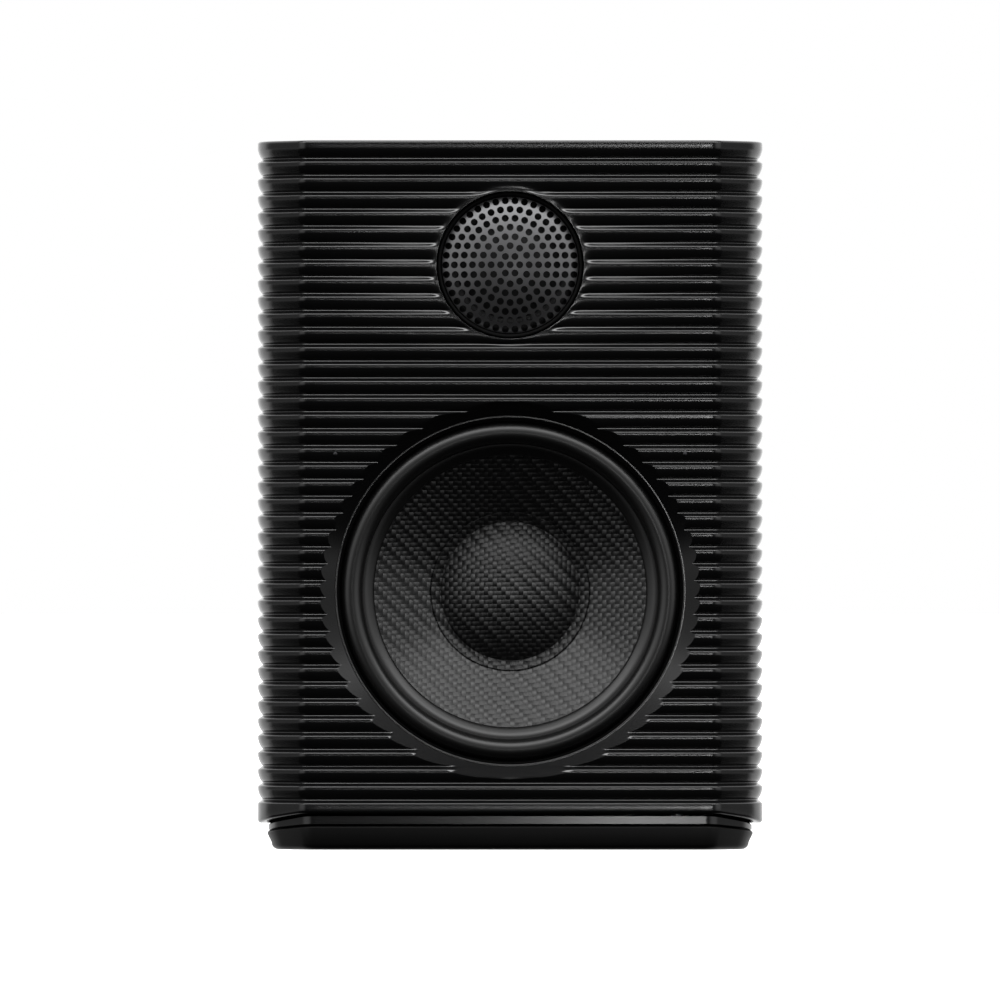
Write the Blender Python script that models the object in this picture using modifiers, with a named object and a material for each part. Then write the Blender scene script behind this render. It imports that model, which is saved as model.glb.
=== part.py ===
"""Compact active bookshelf speaker, built as an assembly of separate pieces.

Metres, +Z up. The origin is on the table, under the middle of the speaker. The front faces -Y.
A depth is measured from the front plane (the crests of the front ribs) towards the rear.
"""

from math import asin, cos, pi, radians, sin, sqrt, tan

import bmesh
import bpy
from mathutils import Matrix, Vector

# ---------------------------------------------------------------- overall sizes
WIDTH = 0.1200
HEIGHT = 0.1681
DEPTH = 0.1320            # front ribs to the tip of the volume knob
GAP = 0.0003              # clearance between pieces that touch

# ---------------------------------------------------------------- cabinet
WALL = 0.0040
BAFFLE = 0.0050
REAR_WALL = 0.0062
CREASE_INSET = 0.0096     # side face to the crease where the front flat ends
CORNER_RADIUS = 0.0125
ARC_STEPS = 2
RIB_PITCH = 0.0040        # wanted; the ribs divide the height evenly
RIB_DEPTH = 0.0011
TOP_RIB = 0.0050          # top edge down to the middle of the first groove
RIB_FOOT = 0.0022         # height of the slanted lower flank of a rib
RIB_SHOULDER = 0.0008     # height of its short upper flank
LAST_RIB = 0.0032         # middle of the last groove down to the cabinet's front bottom edge

# ---------------------------------------------------------------- base
PAD_T = 0.0057            # rubber pad at its front edge
NECK = 0.0022             # visible height between the cabinet and the pad
NECK_INSET = 0.0025
PAD_RISE = 0.0015         # how much higher the pad and the cabinet's underside are at the front
PAD_RISE_DEPTH = 0.0140
PAD_TOP_INSET = 0.0019
PAD_DRAFT = 0.0010
PAD_FILLET = 0.0015
BASE_SCREW_X = 0.0400
BASE_SCREW_Y = 0.0380

# ---------------------------------------------------------------- tweeter
TWEETER_FROM_TOP = 0.0295
TWEETER_RING_WALL = 0.00075
TWEETER_RING_DEPTH = 0.0012
TWEETER_FLANGE_WIDTH = 0.0060
TWEETER_SCREW_OUT = 0.0032
TWEETER_PLATE = 0.0024
TWEETER_SHELF_WIDTH = 0.0008
GRILLE_R = 0.01615
GRILLE_SPHERE_R = 0.0417
GRILLE_APEX = 0.0004
GRILLE_T = 0.0005
TWEETER_DOME_R = 0.0125
TWEETER_DOME_SPHERE_R = 0.0190
TWEETER_DOME_T = 0.0004
TWEETER_DOME_APEX = 0.0026
TWEETER_ROLL_LIFT = 0.0008
TWEETER_COIL_T = 0.0004
TWEETER_COIL_CLEARANCE = 0.0004
TWEETER_POLE_T = 0.0020
TWEETER_MAGNET_T = 0.0035
TWEETER_CUP_T = 0.0025
TWEETER_TRAVEL = 0.00025
DISH_HALF_WIDTH = 0.0450
DISH_HALF_HEIGHT = 0.0230
DISH_DEPTH = 0.0015

# ---------------------------------------------------------------- woofer
WOOFER_Z = 0.0613
WOOFER_HOLE_R = 0.0416
COUNTERSINK_WIDTH = 0.0034
COUNTERSINK_SLOPE = 1.18  # radius lost for each unit of depth
WOOFER_REBATE = 0.0010
GASKET_LAP = 0.0014       # how far the gasket reaches inside the hole
GASKET_WIDTH = 0.0063
GASKET_T = 0.0008
FLANGE_T = 0.0020
SURROUND_T = 0.0005
SURROUND_MARGIN = 0.0015
ROLL_R = 0.0023
SURROUND_LIP = 0.0030     # width of the lip that lies on the cone
SURROUND_LIP_DROP = 0.0016
CONE_OVERLAP = 0.0017
CONE_ANGLE = radians(32.0)
CONE_T = 0.0006
FORMER_R = 0.0161
FORMER_T = 0.0004
CAP_FLANGE_WIDTH = 0.0023
CAP_HEIGHT = 0.0060
COIL_T = 0.0006
COIL_LENGTH = 0.0080
COIL_CLEARANCE = 0.0003
POLE_CLEARANCE = 0.0007
MAGNET_CLEARANCE = 0.0016
TOP_PLATE_R = 0.0320
TOP_PLATE_T = 0.0040
MAGNET_R = 0.0340
MAGNET_T = 0.0120
YOKE_T = 0.0040
BASKET_T = 0.0020
BASKET_WALL = 0.0024
BASKET_SHELF = 0.0030
BASKET_TAIL = 0.0060      # spider's shelf to the basket's rear face
BASKET_WINDOW_W = 0.0280
EAR_OUT = 0.0020
EAR_SIZE = 0.0040
SPIDER_R = 0.0330
SPIDER_T = 0.0004
SPIDER_WAVE = 0.0009
SPIDER_ROLLS = 3
SPIDER_BEHIND_CONE = 0.0032
THREAD_BITE = 0.0022      # how deep a driver's screws go into the baffle

# ---------------------------------------------------------------- rear panel and what it carries
PANEL_T = 0.0025
PANEL_MARGIN_X = 0.0140   # cabinet's side to the panel's edge
PANEL_MARGIN_TOP = 0.0110
PANEL_MARGIN_BOTTOM = 0.0081
PANEL_LEDGE = 0.0070
PANEL_SCREW_INSET = 0.0038
PORT_FROM_TOP = 0.0401
PORT_R = 0.0130
PORT_T = 0.0018
PORT_FLARE_R = 0.0190
PORT_FLARE_T = 0.0014
PORT_LENGTH = 0.0520
CONTROL_Z = 0.0920
CONTROL_PITCH = 0.0270
VOLUME_KNOB_R = 0.0090
VOLUME_KNOB_H = 0.0100
TONE_KNOB_R = 0.0060
TONE_KNOB_H = 0.0080
KNOB_SOCKET = 0.6         # share of a knob's height that its shaft fills
SHAFT_R = 0.0030
POT_SIZE = 0.0095
POT_BUSH_R = 0.0040
LINE_Z = 0.0640
LINE_LEFT_X = 0.0330
LINE_PITCH = 0.0150
PHONO_R = 0.0042
PHONO_PROUD = 0.0075
PHONO_FLANGE_R = 0.0058
PHONO_FLANGE_T = 0.0012
PHONO_WALL = 0.0009
PHONO_HOLE_R = 0.0016
AUX_X = -0.0050
AUX_R = 0.0040
SWITCH_X = -0.0290
SWITCH_W = 0.0130
SWITCH_H = 0.0190
SWITCH_BEZEL = 0.0012
ROCKER_TILT = radians(8.0)
ROCKER_PIVOT = 0.0020
ROCKER_POCKET = 0.0060
ROCKER_CROWN = 0.0036
ROCKER_KEEL = 0.0020
POWER_Z = 0.0370
LINK_X = 0.0200
DC_X = -0.0200
JACK_R = 0.0050
SOCKET_NUT_T = 0.0022
SOCKET_NUT_LIP = 0.0014
AUX_HOLE_R = 0.00175
JACK_HOLE_R = 0.0019
BOARD_T = 0.0016
BOARD_STANDOFF = 0.0120
BOARD_HALF_W = 0.0420
BOARD_BOTTOM = 0.0240
BOARD_TOP = 0.1060
CAPACITOR_R = 0.0080
CAPACITOR_H = 0.0250
CHOKE_R = 0.0090
CHOKE_H = 0.0110

# ---------------------------------------------------------------- fasteners
SCREW_R = 0.0014
SCREW_HEAD_R = 0.0027
SCREW_HEAD_H = 0.0018

# ---------------------------------------------------------------- worked out from the sizes above
FRONT_Y = -DEPTH / 2
BACK_Y = DEPTH / 2 - VOLUME_KNOB_H
CAB_BOTTOM = PAD_T + NECK                 # at the front; the rest lies lower by PAD_RISE
LEVEL_BOTTOM = CAB_BOTTOM - PAD_RISE
LEVEL_PAD_TOP = PAD_T - PAD_RISE
FLOOR_TOP = CAB_BOTTOM + WALL
RIB_SPAN = HEIGHT - TOP_RIB - LAST_RIB - CAB_BOTTOM
RIB_COUNT = round(RIB_SPAN / RIB_PITCH)
RIB_STEP = RIB_SPAN / RIB_COUNT
TWEETER_Z = HEIGHT - TWEETER_FROM_TOP
TWEETER_RING_R = GRILLE_R + GAP + TWEETER_RING_WALL
TWEETER_FLANGE_R = TWEETER_RING_R + TWEETER_FLANGE_WIDTH
TWEETER_SCREW_R = TWEETER_RING_R + TWEETER_SCREW_OUT
COUNTERSINK_R = WOOFER_HOLE_R + COUNTERSINK_WIDTH
GASKET_R = WOOFER_HOLE_R - GASKET_LAP
FLANGE_R = GASKET_R + GASKET_WIDTH
EAR_R = FLANGE_R + EAR_OUT
SURROUND_OUTER_R = FLANGE_R - SURROUND_MARGIN
ROLL_CREST_R = GASKET_R - GAP - ROLL_R
SURROUND_LIP_R = ROLL_CREST_R - ROLL_R - SURROUND_LIP
CAP_R = FORMER_R + FORMER_T
CAP_FLANGE_R = CAP_R + CAP_FLANGE_WIDTH
POLE_R = FORMER_R - POLE_CLEARANCE
TOP_PLATE_HOLE_R = FORMER_R + FORMER_T + GAP + COIL_T + COIL_CLEARANCE
PORT_Z = HEIGHT - PORT_FROM_TOP
PANEL_HALF_W = WIDTH / 2 - PANEL_MARGIN_X
PANEL_Z0 = CAB_BOTTOM + PANEL_MARGIN_BOTTOM
PANEL_Z1 = HEIGHT - PANEL_MARGIN_TOP
PANEL_FACE_Y = BACK_Y
PANEL_BACK_Y = PANEL_FACE_Y - PANEL_T
HOLE_R = SCREW_R + GAP
REAR_OF_BOARD = PANEL_BACK_Y - BOARD_STANDOFF


def from_front(depth):
    """World y of a depth behind the front plane."""
    return FRONT_Y + depth


# ---------------------------------------------------------------- scene helpers
def clear_scene():
    for obj in list(bpy.data.objects):
        bpy.data.objects.remove(obj, do_unlink=True)
    for collection in list(bpy.data.collections):
        bpy.data.collections.remove(collection)


def new_collection(name):
    collection = bpy.data.collections.new(name)
    bpy.context.scene.collection.children.link(collection)
    return collection


clear_scene()
PARTS = new_collection("bookshelf_speaker")
CUTTERS = new_collection("cutters")


def finish_material(name, colour, roughness, metallic):
    material = bpy.data.materials.new(name)
    material.use_nodes = True
    shader = material.node_tree.nodes["Principled BSDF"]
    shader.inputs["Base Color"].default_value = (*colour, 1.0)
    shader.inputs["Roughness"].default_value = roughness
    shader.inputs["Metallic"].default_value = metallic
    material.diffuse_color = (*colour, 1.0)
    return material


SATIN_BLACK = finish_material("satin_black_metal", (0.012, 0.012, 0.013), 0.32, 0.6)
NECK_METAL = finish_material("neck_metal", (0.020, 0.020, 0.021), 0.30, 0.8)
PAD_RUBBER = finish_material("pad_rubber", (0.018, 0.018, 0.018), 0.65, 0.0)
SURROUND_RUBBER = finish_material("surround_rubber", (0.010, 0.010, 0.010), 0.38, 0.0)
CARBON = finish_material("carbon_weave", (0.030, 0.030, 0.032), 0.35, 0.2)
GRILLE_METAL = finish_material("grille_metal", (0.030, 0.030, 0.032), 0.35, 0.9)
SILK = finish_material("tweeter_silk", (0.060, 0.060, 0.065), 0.60, 0.0)
BLACK_PLASTIC = finish_material("black_plastic", (0.015, 0.015, 0.016), 0.45, 0.0)
KNOB_PLASTIC = finish_material("knob_finish", (0.020, 0.020, 0.021), 0.35, 0.5)
STEEL = finish_material("zinc_steel", (0.45, 0.46, 0.48), 0.35, 1.0)
BLACK_STEEL = finish_material("black_steel", (0.030, 0.030, 0.032), 0.35, 0.9)
FERRITE = finish_material("ferrite", (0.045, 0.045, 0.048), 0.75, 0.1)
COPPER = finish_material("copper_wire", (0.62, 0.28, 0.14), 0.30, 1.0)
POLYIMIDE = finish_material("coil_former_film", (0.45, 0.22, 0.05), 0.40, 0.0)
SPIDER_CLOTH = finish_material("spider_cloth", (0.50, 0.36, 0.16), 0.85, 0.0)
FOAM = finish_material("gasket_foam", (0.010, 0.010, 0.010), 0.90, 0.0)
NICKEL = finish_material("nickel", (0.72, 0.70, 0.66), 0.22, 1.0)
RED_PLASTIC = finish_material("red_insert", (0.55, 0.02, 0.02), 0.40, 0.0)
WHITE_PLASTIC = finish_material("white_insert", (0.75, 0.75, 0.73), 0.40, 0.0)
BOARD_GREEN = finish_material("board_laminate", (0.02, 0.11, 0.05), 0.45, 0.0)
CAN_SLEEVE = finish_material("capacitor_sleeve", (0.02, 0.02, 0.05), 0.35, 0.0)


def add_object(name, mesh, material=None):
    """Links a mesh as a visible part when it has a material, or as a cutter when it has none."""
    obj = bpy.data.objects.new(name, mesh)
    if material is None:
        CUTTERS.objects.link(obj)
        obj.hide_render = True
        obj.display_type = "WIRE"
    else:
        PARTS.objects.link(obj)
        mesh.materials.append(material)
    return obj


def mesh_from(bm, name, smooth_angle=None):
    mesh = bpy.data.meshes.new(name)
    bmesh.ops.recalc_face_normals(bm, faces=bm.faces)
    bm.to_mesh(mesh)
    bm.free()
    if smooth_angle is not None:
        mesh.shade_smooth()
        mesh.set_sharp_from_angle(angle=smooth_angle)
    return mesh


# ---------------------------------------------------------------- shapes
FACING_FRONT = Matrix.Rotation(pi / 2, 4, "X")     # turns local +Z to the front (-Y)
FACING_REAR = Matrix.Rotation(-pi / 2, 4, "X")     # turns local +Z to the rear (+Y)
UPWARD = Matrix.Identity(4)
DOWNWARD = Matrix.Rotation(pi, 4, "X")


def place(obj, location, turn):
    obj.location = location
    obj.rotation_euler = turn.to_euler()
    return obj


def turned(name, profile, closed, location, turn, material=None, steps=48):
    """A turned shape: (radius, height) points, from the top down the outer side, spun about local Z."""
    mesh = bpy.data.meshes.new(name)
    edges = [(i, i + 1) for i in range(len(profile) - 1)]
    if closed:
        edges.append((len(profile) - 1, 0))
    mesh.from_pydata([(r, 0.0, h) for r, h in profile], edges, [])
    obj = add_object(name, mesh, material)
    screw = obj.modifiers.new("Turn", "SCREW")
    screw.steps = steps
    screw.render_steps = steps
    screw.use_merge_vertices = True
    screw.merge_threshold = 0.000001
    screw.use_smooth_shade = True
    return place(obj, location, turn)


def rod(name, radius, low, high, location, turn, material=None, sides=24):
    """A cylinder along local Z from height low to height high."""
    bm = bmesh.new()
    bmesh.ops.create_cone(
        bm,
        cap_ends=True,
        segments=sides,
        radius1=radius,
        radius2=radius,
        depth=high - low,
        matrix=Matrix.Translation((0.0, 0.0, (low + high) / 2)),
    )
    obj = add_object(name, mesh_from(bm, name, radians(40)), material)
    return place(obj, location, turn)


def block(name, low, high, material=None, rounding=0.0):
    """A box between two world corners, with its edges rounded by a Bevel."""
    size = Vector(high) - Vector(low)
    centre = (Vector(high) + Vector(low)) / 2
    bm = bmesh.new()
    bmesh.ops.create_cube(bm, size=1.0, matrix=Matrix.Diagonal((*size, 1.0)))
    obj = add_object(name, mesh_from(bm, name), material)
    obj.location = centre
    if rounding > 0.0:
        bevel = obj.modifiers.new("Round", "BEVEL")
        bevel.width = rounding
        bevel.segments = 2
    return obj


def prism(name, outline, low, high, axis, material=None):
    """An outline of (a, b) points pushed through along X (points are y, z) or Z (points are x, y)."""
    bm = bmesh.new()
    if axis == "X":
        corners = [(low, a, b) for a, b in outline]
        push = Vector((high - low, 0.0, 0.0))
    else:
        corners = [(a, b, low) for a, b in outline]
        push = Vector((0.0, 0.0, high - low))
    face = bm.faces.new([bm.verts.new(corner) for corner in corners])
    grown = bmesh.ops.extrude_face_region(bm, geom=[face])
    top = [item for item in grown["geom"] if isinstance(item, bmesh.types.BMVert)]
    bmesh.ops.translate(bm, vec=push, verts=top)
    return add_object(name, mesh_from(bm, name), material)


def loft(name, loops, material=None):
    """A closed body through level loops of equal count, from the lowest to the highest."""
    bm = bmesh.new()
    rings = [[bm.verts.new(point) for point in loop] for loop in loops]
    count = len(rings[0])
    for lower, upper in zip(rings, rings[1:]):
        for i in range(count):
            j = (i + 1) % count
            bm.faces.new((lower[i], lower[j], upper[j], upper[i]))
    bm.faces.new(list(reversed(rings[0])))
    bm.faces.new(rings[-1])
    return add_object(name, mesh_from(bm, name, radians(25)), material)


def boolean(obj, other, operation):
    modifier = obj.modifiers.new(operation.title(), "BOOLEAN")
    modifier.operation = operation
    modifier.object = other
    modifier.solver = "EXACT"


def cut(obj, *cutters):
    for cutter in cutters:
        boolean(obj, cutter, "DIFFERENCE")


def join(obj, *others):
    for other in others:
        boolean(obj, other, "UNION")


# ---------------------------------------------------------------- the cabinet's plan
def plan(inset, rear_y):
    """Plan outline: flat front, 45 degree chamfer, arc into the side; the same at the rear."""
    half = WIDTH / 2
    crease = half - CREASE_INSET - inset * tan(pi / 8)
    chamfer_x = half - CORNER_RADIUS * (1 - cos(pi / 4))
    chamfer_run = chamfer_x - (half - CREASE_INSET)
    arc_centre_x = half - CORNER_RADIUS
    arc_centre_depth = chamfer_run + CORNER_RADIUS * sin(pi / 4)
    corner = [(crease, inset)]
    for step in range(ARC_STEPS + 1):
        angle = pi / 4 * (1 - step / ARC_STEPS)
        reach = CORNER_RADIUS - inset
        corner.append((arc_centre_x + reach * cos(angle), arc_centre_depth - reach * sin(angle)))
    front_right = [(x, FRONT_Y + d) for x, d in corner]
    rear_right = [(x, rear_y - d) for x, d in reversed(corner)]
    right = front_right + rear_right
    left = [(-x, y) for x, y in reversed(right)]
    return right + left


def level_loop(inset, rear_y, z):
    return [(x, y, z) for x, y in plan(inset, rear_y)]


def rib_levels():
    """(height, inset) pairs of the ribbed skin, from the bottom edge to the top edge."""
    first = CAB_BOTTOM + LAST_RIB
    levels = [(LEVEL_BOTTOM, 0.0), (first - RIB_SHOULDER, 0.0)]
    for i in range(RIB_COUNT + 1):
        groove = first + i * RIB_STEP
        levels.append((groove, RIB_DEPTH))
        levels.append((groove + RIB_FOOT, 0.0))
        if i < RIB_COUNT:
            levels.append((groove + RIB_STEP - RIB_SHOULDER, 0.0))
    levels.append((HEIGHT, 0.0))
    return levels


def slope_profile(top_at_rear, bottom_at_rear, rear_y):
    """Side profile (y, z) of a layer of the base whose faces rise towards the front."""
    break_y = FRONT_Y + PAD_RISE_DEPTH
    nose_y = FRONT_Y - PAD_RISE_DEPTH
    rise = 2 * PAD_RISE
    return [
        (nose_y, bottom_at_rear + rise),
        (break_y, bottom_at_rear),
        (rear_y, bottom_at_rear),
        (rear_y, top_at_rear),
        (break_y, top_at_rear),
        (nose_y, top_at_rear + rise),
    ]


def panel_screw_positions():
    x = PANEL_HALF_W - PANEL_SCREW_INSET
    return [
        (sx * x, z)
        for z in (PANEL_Z0 + PANEL_SCREW_INSET, PANEL_Z1 - PANEL_SCREW_INSET)
        for sx in (-1, 1)
    ]


def ear_positions():
    offset = EAR_R / sqrt(2)
    return [(sx * offset, WOOFER_Z + sz * offset) for sz in (-1, 1) for sx in (-1, 1)]


def tweeter_screw_positions():
    return [(side * TWEETER_SCREW_R, TWEETER_Z) for side in (-1, 1)]


def underside_cutter():
    """What is below the cabinet's underside, which rises towards the front."""
    outline = slope_profile(LEVEL_BOTTOM, LEVEL_BOTTOM - 0.02, BACK_Y + 0.01)
    return prism("cut_underside", outline, -WIDTH, WIDTH, "X")


def dish_cutter():
    """A shallow bowl, oval from the front: its depth is DISH_DEPTH (1 - rho^2)^1.5."""
    rings = 5
    bowl = [(0.0, 0.004), (DISH_HALF_HEIGHT * 1.02, 0.004)]
    for i in range(rings + 1):
        rho = 1.0 - i / rings
        bowl.append((DISH_HALF_HEIGHT * rho, -DISH_DEPTH * (1 - rho * rho) ** 1.5))
    cutter = turned("cut_dish", bowl, False, at_tweeter(), FACING_FRONT, steps=28)
    cutter.scale = (DISH_HALF_WIDTH / DISH_HALF_HEIGHT, 1.0, 1.0)
    return cutter


def woofer_hole_cutter():
    """The countersink and the hole behind it."""
    mouth = COUNTERSINK_R + 0.004 * COUNTERSINK_SLOPE
    throat = COUNTERSINK_WIDTH / COUNTERSINK_SLOPE
    profile = [
        (0.0, 0.004),
        (mouth, 0.004),
        (WOOFER_HOLE_R, -throat),
        (WOOFER_HOLE_R, -BAFFLE - 0.004),
        (0.0, -BAFFLE - 0.004),
    ]
    return turned("cut_woofer", profile, False, at_woofer(), FACING_FRONT, steps=48)


def front_rod(name, radius, front, rear, x, z, sides):
    """A cylinder along the depth, between two depths behind the front plane."""
    return rod(name, radius, -rear, -front, (x, FRONT_Y, z), FACING_FRONT, sides=sides)


def cabinet():
    levels = rib_levels()
    body = loft("cabinet", [level_loop(inset, BACK_Y, z) for z, inset in levels], SATIN_BLACK)
    inner = plan(WALL, BACK_Y + WALL - REAR_WALL)
    inner = [(x, max(y, from_front(BAFFLE))) for x, y in inner]
    cavity = prism("cut_cavity", inner, FLOOR_TOP, HEIGHT - WALL, "Z")
    opening = block(
        "cut_rear_opening",
        (-PANEL_HALF_W + PANEL_LEDGE, BACK_Y - REAR_WALL - 0.004, PANEL_Z0 + PANEL_LEDGE),
        (PANEL_HALF_W - PANEL_LEDGE, BACK_Y + 0.004, PANEL_Z1 - PANEL_LEDGE),
    )
    rebate = block(
        "cut_rear_rebate",
        (-PANEL_HALF_W - GAP, PANEL_BACK_Y - GAP, PANEL_Z0 - GAP),
        (PANEL_HALF_W + GAP, BACK_Y + 0.004, PANEL_Z1 + GAP),
    )
    behind = BAFFLE + 0.004
    flange_rebate = front_rod(
        "cut_woofer_rebate", FLANGE_R + 0.0005, BAFFLE - WOOFER_REBATE, behind, 0.0, WOOFER_Z, 40
    )
    tweeter_hole = front_rod("cut_tweeter", TWEETER_RING_R + GAP, -0.004, behind, 0.0, TWEETER_Z, 32)
    cut(body, cavity, opening, rebate, underside_cutter(), dish_cutter())
    cut(body, woofer_hole_cutter(), flange_rebate, tweeter_hole)
    thread = PANEL_T + 2 * GAP + 0.0025
    for i, (x, z) in enumerate(panel_screw_positions()):
        where = (x, BACK_Y, z)
        cut(body, rod(f"cut_panel_thread_{i}", HOLE_R, -thread, 0.002, where, FACING_REAR, sides=8))
    thread = BAFFLE - THREAD_BITE - GAP
    for i, (x, z) in enumerate(ear_positions() + tweeter_screw_positions()):
        cut(body, front_rod(f"cut_driver_thread_{i}", HOLE_R, thread, behind, x, z, 8))
    for i, (x, y) in enumerate(base_screw_positions()):
        where = (x, y, LEVEL_BOTTOM)
        cut(body, rod(f"cut_base_thread_{i}", HOLE_R, -0.002, 0.0038, where, UPWARD, sides=8))


def base_screw_positions():
    return [(sx * BASE_SCREW_X, sy * BASE_SCREW_Y) for sy in (-1, 1) for sx in (-1, 1)]


def base():
    """The neck plate under the cabinet and the rubber pad under it, both rising at the front."""
    rear = BACK_Y + 0.004
    reach = 0.004
    plate_levels = (LEVEL_PAD_TOP - reach, CAB_BOTTOM + reach)
    plate = loft("base_plate", [level_loop(NECK_INSET, BACK_Y, z) for z in plate_levels], NECK_METAL)
    above = slope_profile(LEVEL_BOTTOM + 0.02, LEVEL_BOTTOM - GAP, rear)
    below = slope_profile(LEVEL_PAD_TOP + GAP, LEVEL_PAD_TOP - 0.02, rear)
    cut(
        plate,
        prism("cut_plate_top", above, -WIDTH, WIDTH, "X"),
        prism("cut_plate_bottom", below, -WIDTH, WIDTH, "X"),
    )
    foot = PAD_TOP_INSET + PAD_DRAFT
    pad_levels = [
        (0.0, foot + PAD_FILLET),
        (PAD_FILLET * 0.3, foot + PAD_FILLET * 0.3),
        (PAD_FILLET, foot),
        (PAD_T, PAD_TOP_INSET),
        (PAD_T + 0.002, PAD_TOP_INSET),
    ]
    pad = loft("base_pad", [level_loop(inset, BACK_Y, z) for z, inset in pad_levels], PAD_RUBBER)
    over = slope_profile(LEVEL_PAD_TOP + 0.02, LEVEL_PAD_TOP, rear)
    cut(pad, prism("cut_pad_top", over, -WIDTH, WIDTH, "X"))
    pocket_r = SCREW_HEAD_R + GAP
    for i, (x, y) in enumerate(base_screw_positions()):
        where = (x, y, LEVEL_PAD_TOP)
        floor = -SCREW_HEAD_H - 2 * GAP
        cut(plate, rod(f"cut_plate_hole_{i}", HOLE_R, -0.001, NECK, where, UPWARD, sides=8))
        cut(pad, rod(f"cut_pad_pocket_{i}", pocket_r, floor, 0.002, where, UPWARD, sides=10))


# ---------------------------------------------------------------- fasteners
def screw_mesh(length):
    """A cheese-head screw with a hexagonal socket; its head's underside is at height 0."""
    profile = [
        (0.0, SCREW_HEAD_H),
        (SCREW_HEAD_R, SCREW_HEAD_H),
        (SCREW_HEAD_R, 0.0),
        (SCREW_R, 0.0),
        (SCREW_R, -length),
        (0.0, -length),
    ]
    template = turned("cut_screw_template", profile, False, (0, 0, 0), UPWARD, steps=10)
    socket = rod("cut_screw_socket", 0.0012, SCREW_HEAD_H * 0.45, 0.004, (0, 0, 0), UPWARD, sides=6)
    cut(template, socket)
    graph = bpy.context.evaluated_depsgraph_get()
    mesh = bpy.data.meshes.new_from_object(template.evaluated_get(graph))
    mesh.name = f"screw_{round(length * 1e4)}"
    bpy.data.objects.remove(template, do_unlink=True)
    bpy.data.objects.remove(socket, do_unlink=True)
    return mesh


def screws(prefix, mesh, places, turn, material):
    mesh.materials.append(material)
    for number, location in enumerate(places, start=1):
        screw = bpy.data.objects.new(f"{prefix}_{number}", mesh)
        PARTS.objects.link(screw)
        place(screw, location, turn)


# ---------------------------------------------------------------- woofer
def at_woofer(depth=0.0):
    return (0.0, from_front(depth), WOOFER_Z)


# Depths behind the front plane, from the baffle's rebate back to the yoke.
GASKET_FRONT = BAFFLE - WOOFER_REBATE + GAP
SURROUND_FOOT = GASKET_FRONT + GASKET_T + GAP
FLANGE_FRONT = SURROUND_FOOT + SURROUND_T + GAP
FLANGE_REAR = FLANGE_FRONT + FLANGE_T
LIP_DEPTH = SURROUND_FOOT + SURROUND_LIP_DROP
CONE_RIM = LIP_DEPTH + SURROUND_T + GAP
CONE_SLOPE = tan(CONE_ANGLE)


def cone_depth(radius):
    """Depth of the cone's front surface at a radius."""
    return CONE_RIM + (SURROUND_LIP_R - radius) * CONE_SLOPE


CONE_NECK_R = CAP_R + GAP
CAP_RIM = cone_depth(CAP_R) - GAP - CONE_T
FORMER_FRONT = cone_depth(CAP_R) + CONE_T
SPIDER_DEPTH = FORMER_FRONT + SPIDER_BEHIND_CONE
SHELF_DEPTH = SPIDER_DEPTH + SPIDER_WAVE + SPIDER_T
BASKET_REAR = SHELF_DEPTH + BASKET_TAIL
TOP_PLATE_FRONT = BASKET_REAR + GAP
MAGNET_FRONT = TOP_PLATE_FRONT + TOP_PLATE_T + GAP
YOKE_FRONT = MAGNET_FRONT + MAGNET_T + GAP
COIL_FRONT = TOP_PLATE_FRONT + TOP_PLATE_T / 2 - COIL_LENGTH / 2
COIL_REAR = COIL_FRONT + COIL_LENGTH


def spun(name, points, closed, location, material, steps):
    """A turned piece from (radius, depth) points."""
    profile = [(radius, -depth) for radius, depth in points]
    return turned(name, profile, closed, location, FACING_FRONT, material, steps)


def ring(name, inner, outer, front, rear, location, material, steps):
    """A plain washer between two depths."""
    points = [(outer, front), (outer, rear), (inner, rear), (inner, front)]
    return spun(name, points, True, location, material, steps)


def dome(radius, sphere, apex, thickness, steps):
    """(radius, depth) points of a spherical shell's outer and inner faces, apex to rim."""
    reach = asin(radius / sphere)

    def face(inset):
        size = sphere - inset
        return [
            (size * sin(reach * i / steps), apex + sphere - size * cos(reach * i / steps))
            for i in range(steps + 1)
        ]

    return face(0.0), face(thickness)


def sag(radius, sphere):
    """Height of a spherical cap."""
    return sphere - sqrt(sphere**2 - radius**2)


def surround():
    """Rubber ring: flat outer flange, half roll, and a lip that follows the cone."""
    arc = 4

    def roll(radius, foot):
        return [
            (ROLL_CREST_R + radius * cos(pi * i / arc), foot - radius * sin(pi * i / arc))
            for i in range(arc + 1)
        ]

    front = roll(ROLL_R, SURROUND_FOOT) + [(SURROUND_LIP_R, LIP_DEPTH)]
    back = roll(ROLL_R - SURROUND_T, SURROUND_FOOT + SURROUND_T)
    back.append((SURROUND_LIP_R, LIP_DEPTH + SURROUND_T))
    outer = [(SURROUND_OUTER_R, SURROUND_FOOT), (SURROUND_OUTER_R, SURROUND_FOOT + SURROUND_T)]
    points = outer + back + list(reversed(front))
    spun("woofer_surround", points, True, at_woofer(), SURROUND_RUBBER, 36)


def woofer_cone():
    outer = SURROUND_LIP_R + CONE_OVERLAP
    back = CONE_T / cos(CONE_ANGLE)
    points = [
        (outer, cone_depth(outer)),
        (outer, cone_depth(outer) + back),
        (CONE_NECK_R, cone_depth(CONE_NECK_R) + back),
        (CONE_NECK_R, cone_depth(CONE_NECK_R)),
    ]
    spun("woofer_cone", points, True, at_woofer(), CARBON, 36)


def dust_cap():
    """Shell of a shallow sphere with a narrow conical flange glued to the cone."""
    sphere = (CAP_R**2 + CAP_HEIGHT**2) / (2 * CAP_HEIGHT)
    front, back = dome(CAP_R, sphere, CAP_RIM - CAP_HEIGHT, CONE_T, 4)
    seat = cone_depth(CAP_FLANGE_R) - GAP
    points = front + [(CAP_FLANGE_R, seat - CONE_T), (CAP_FLANGE_R, seat)] + list(reversed(back))
    spun("woofer_dust_cap", points, False, at_woofer(), CARBON, 28)


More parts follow.
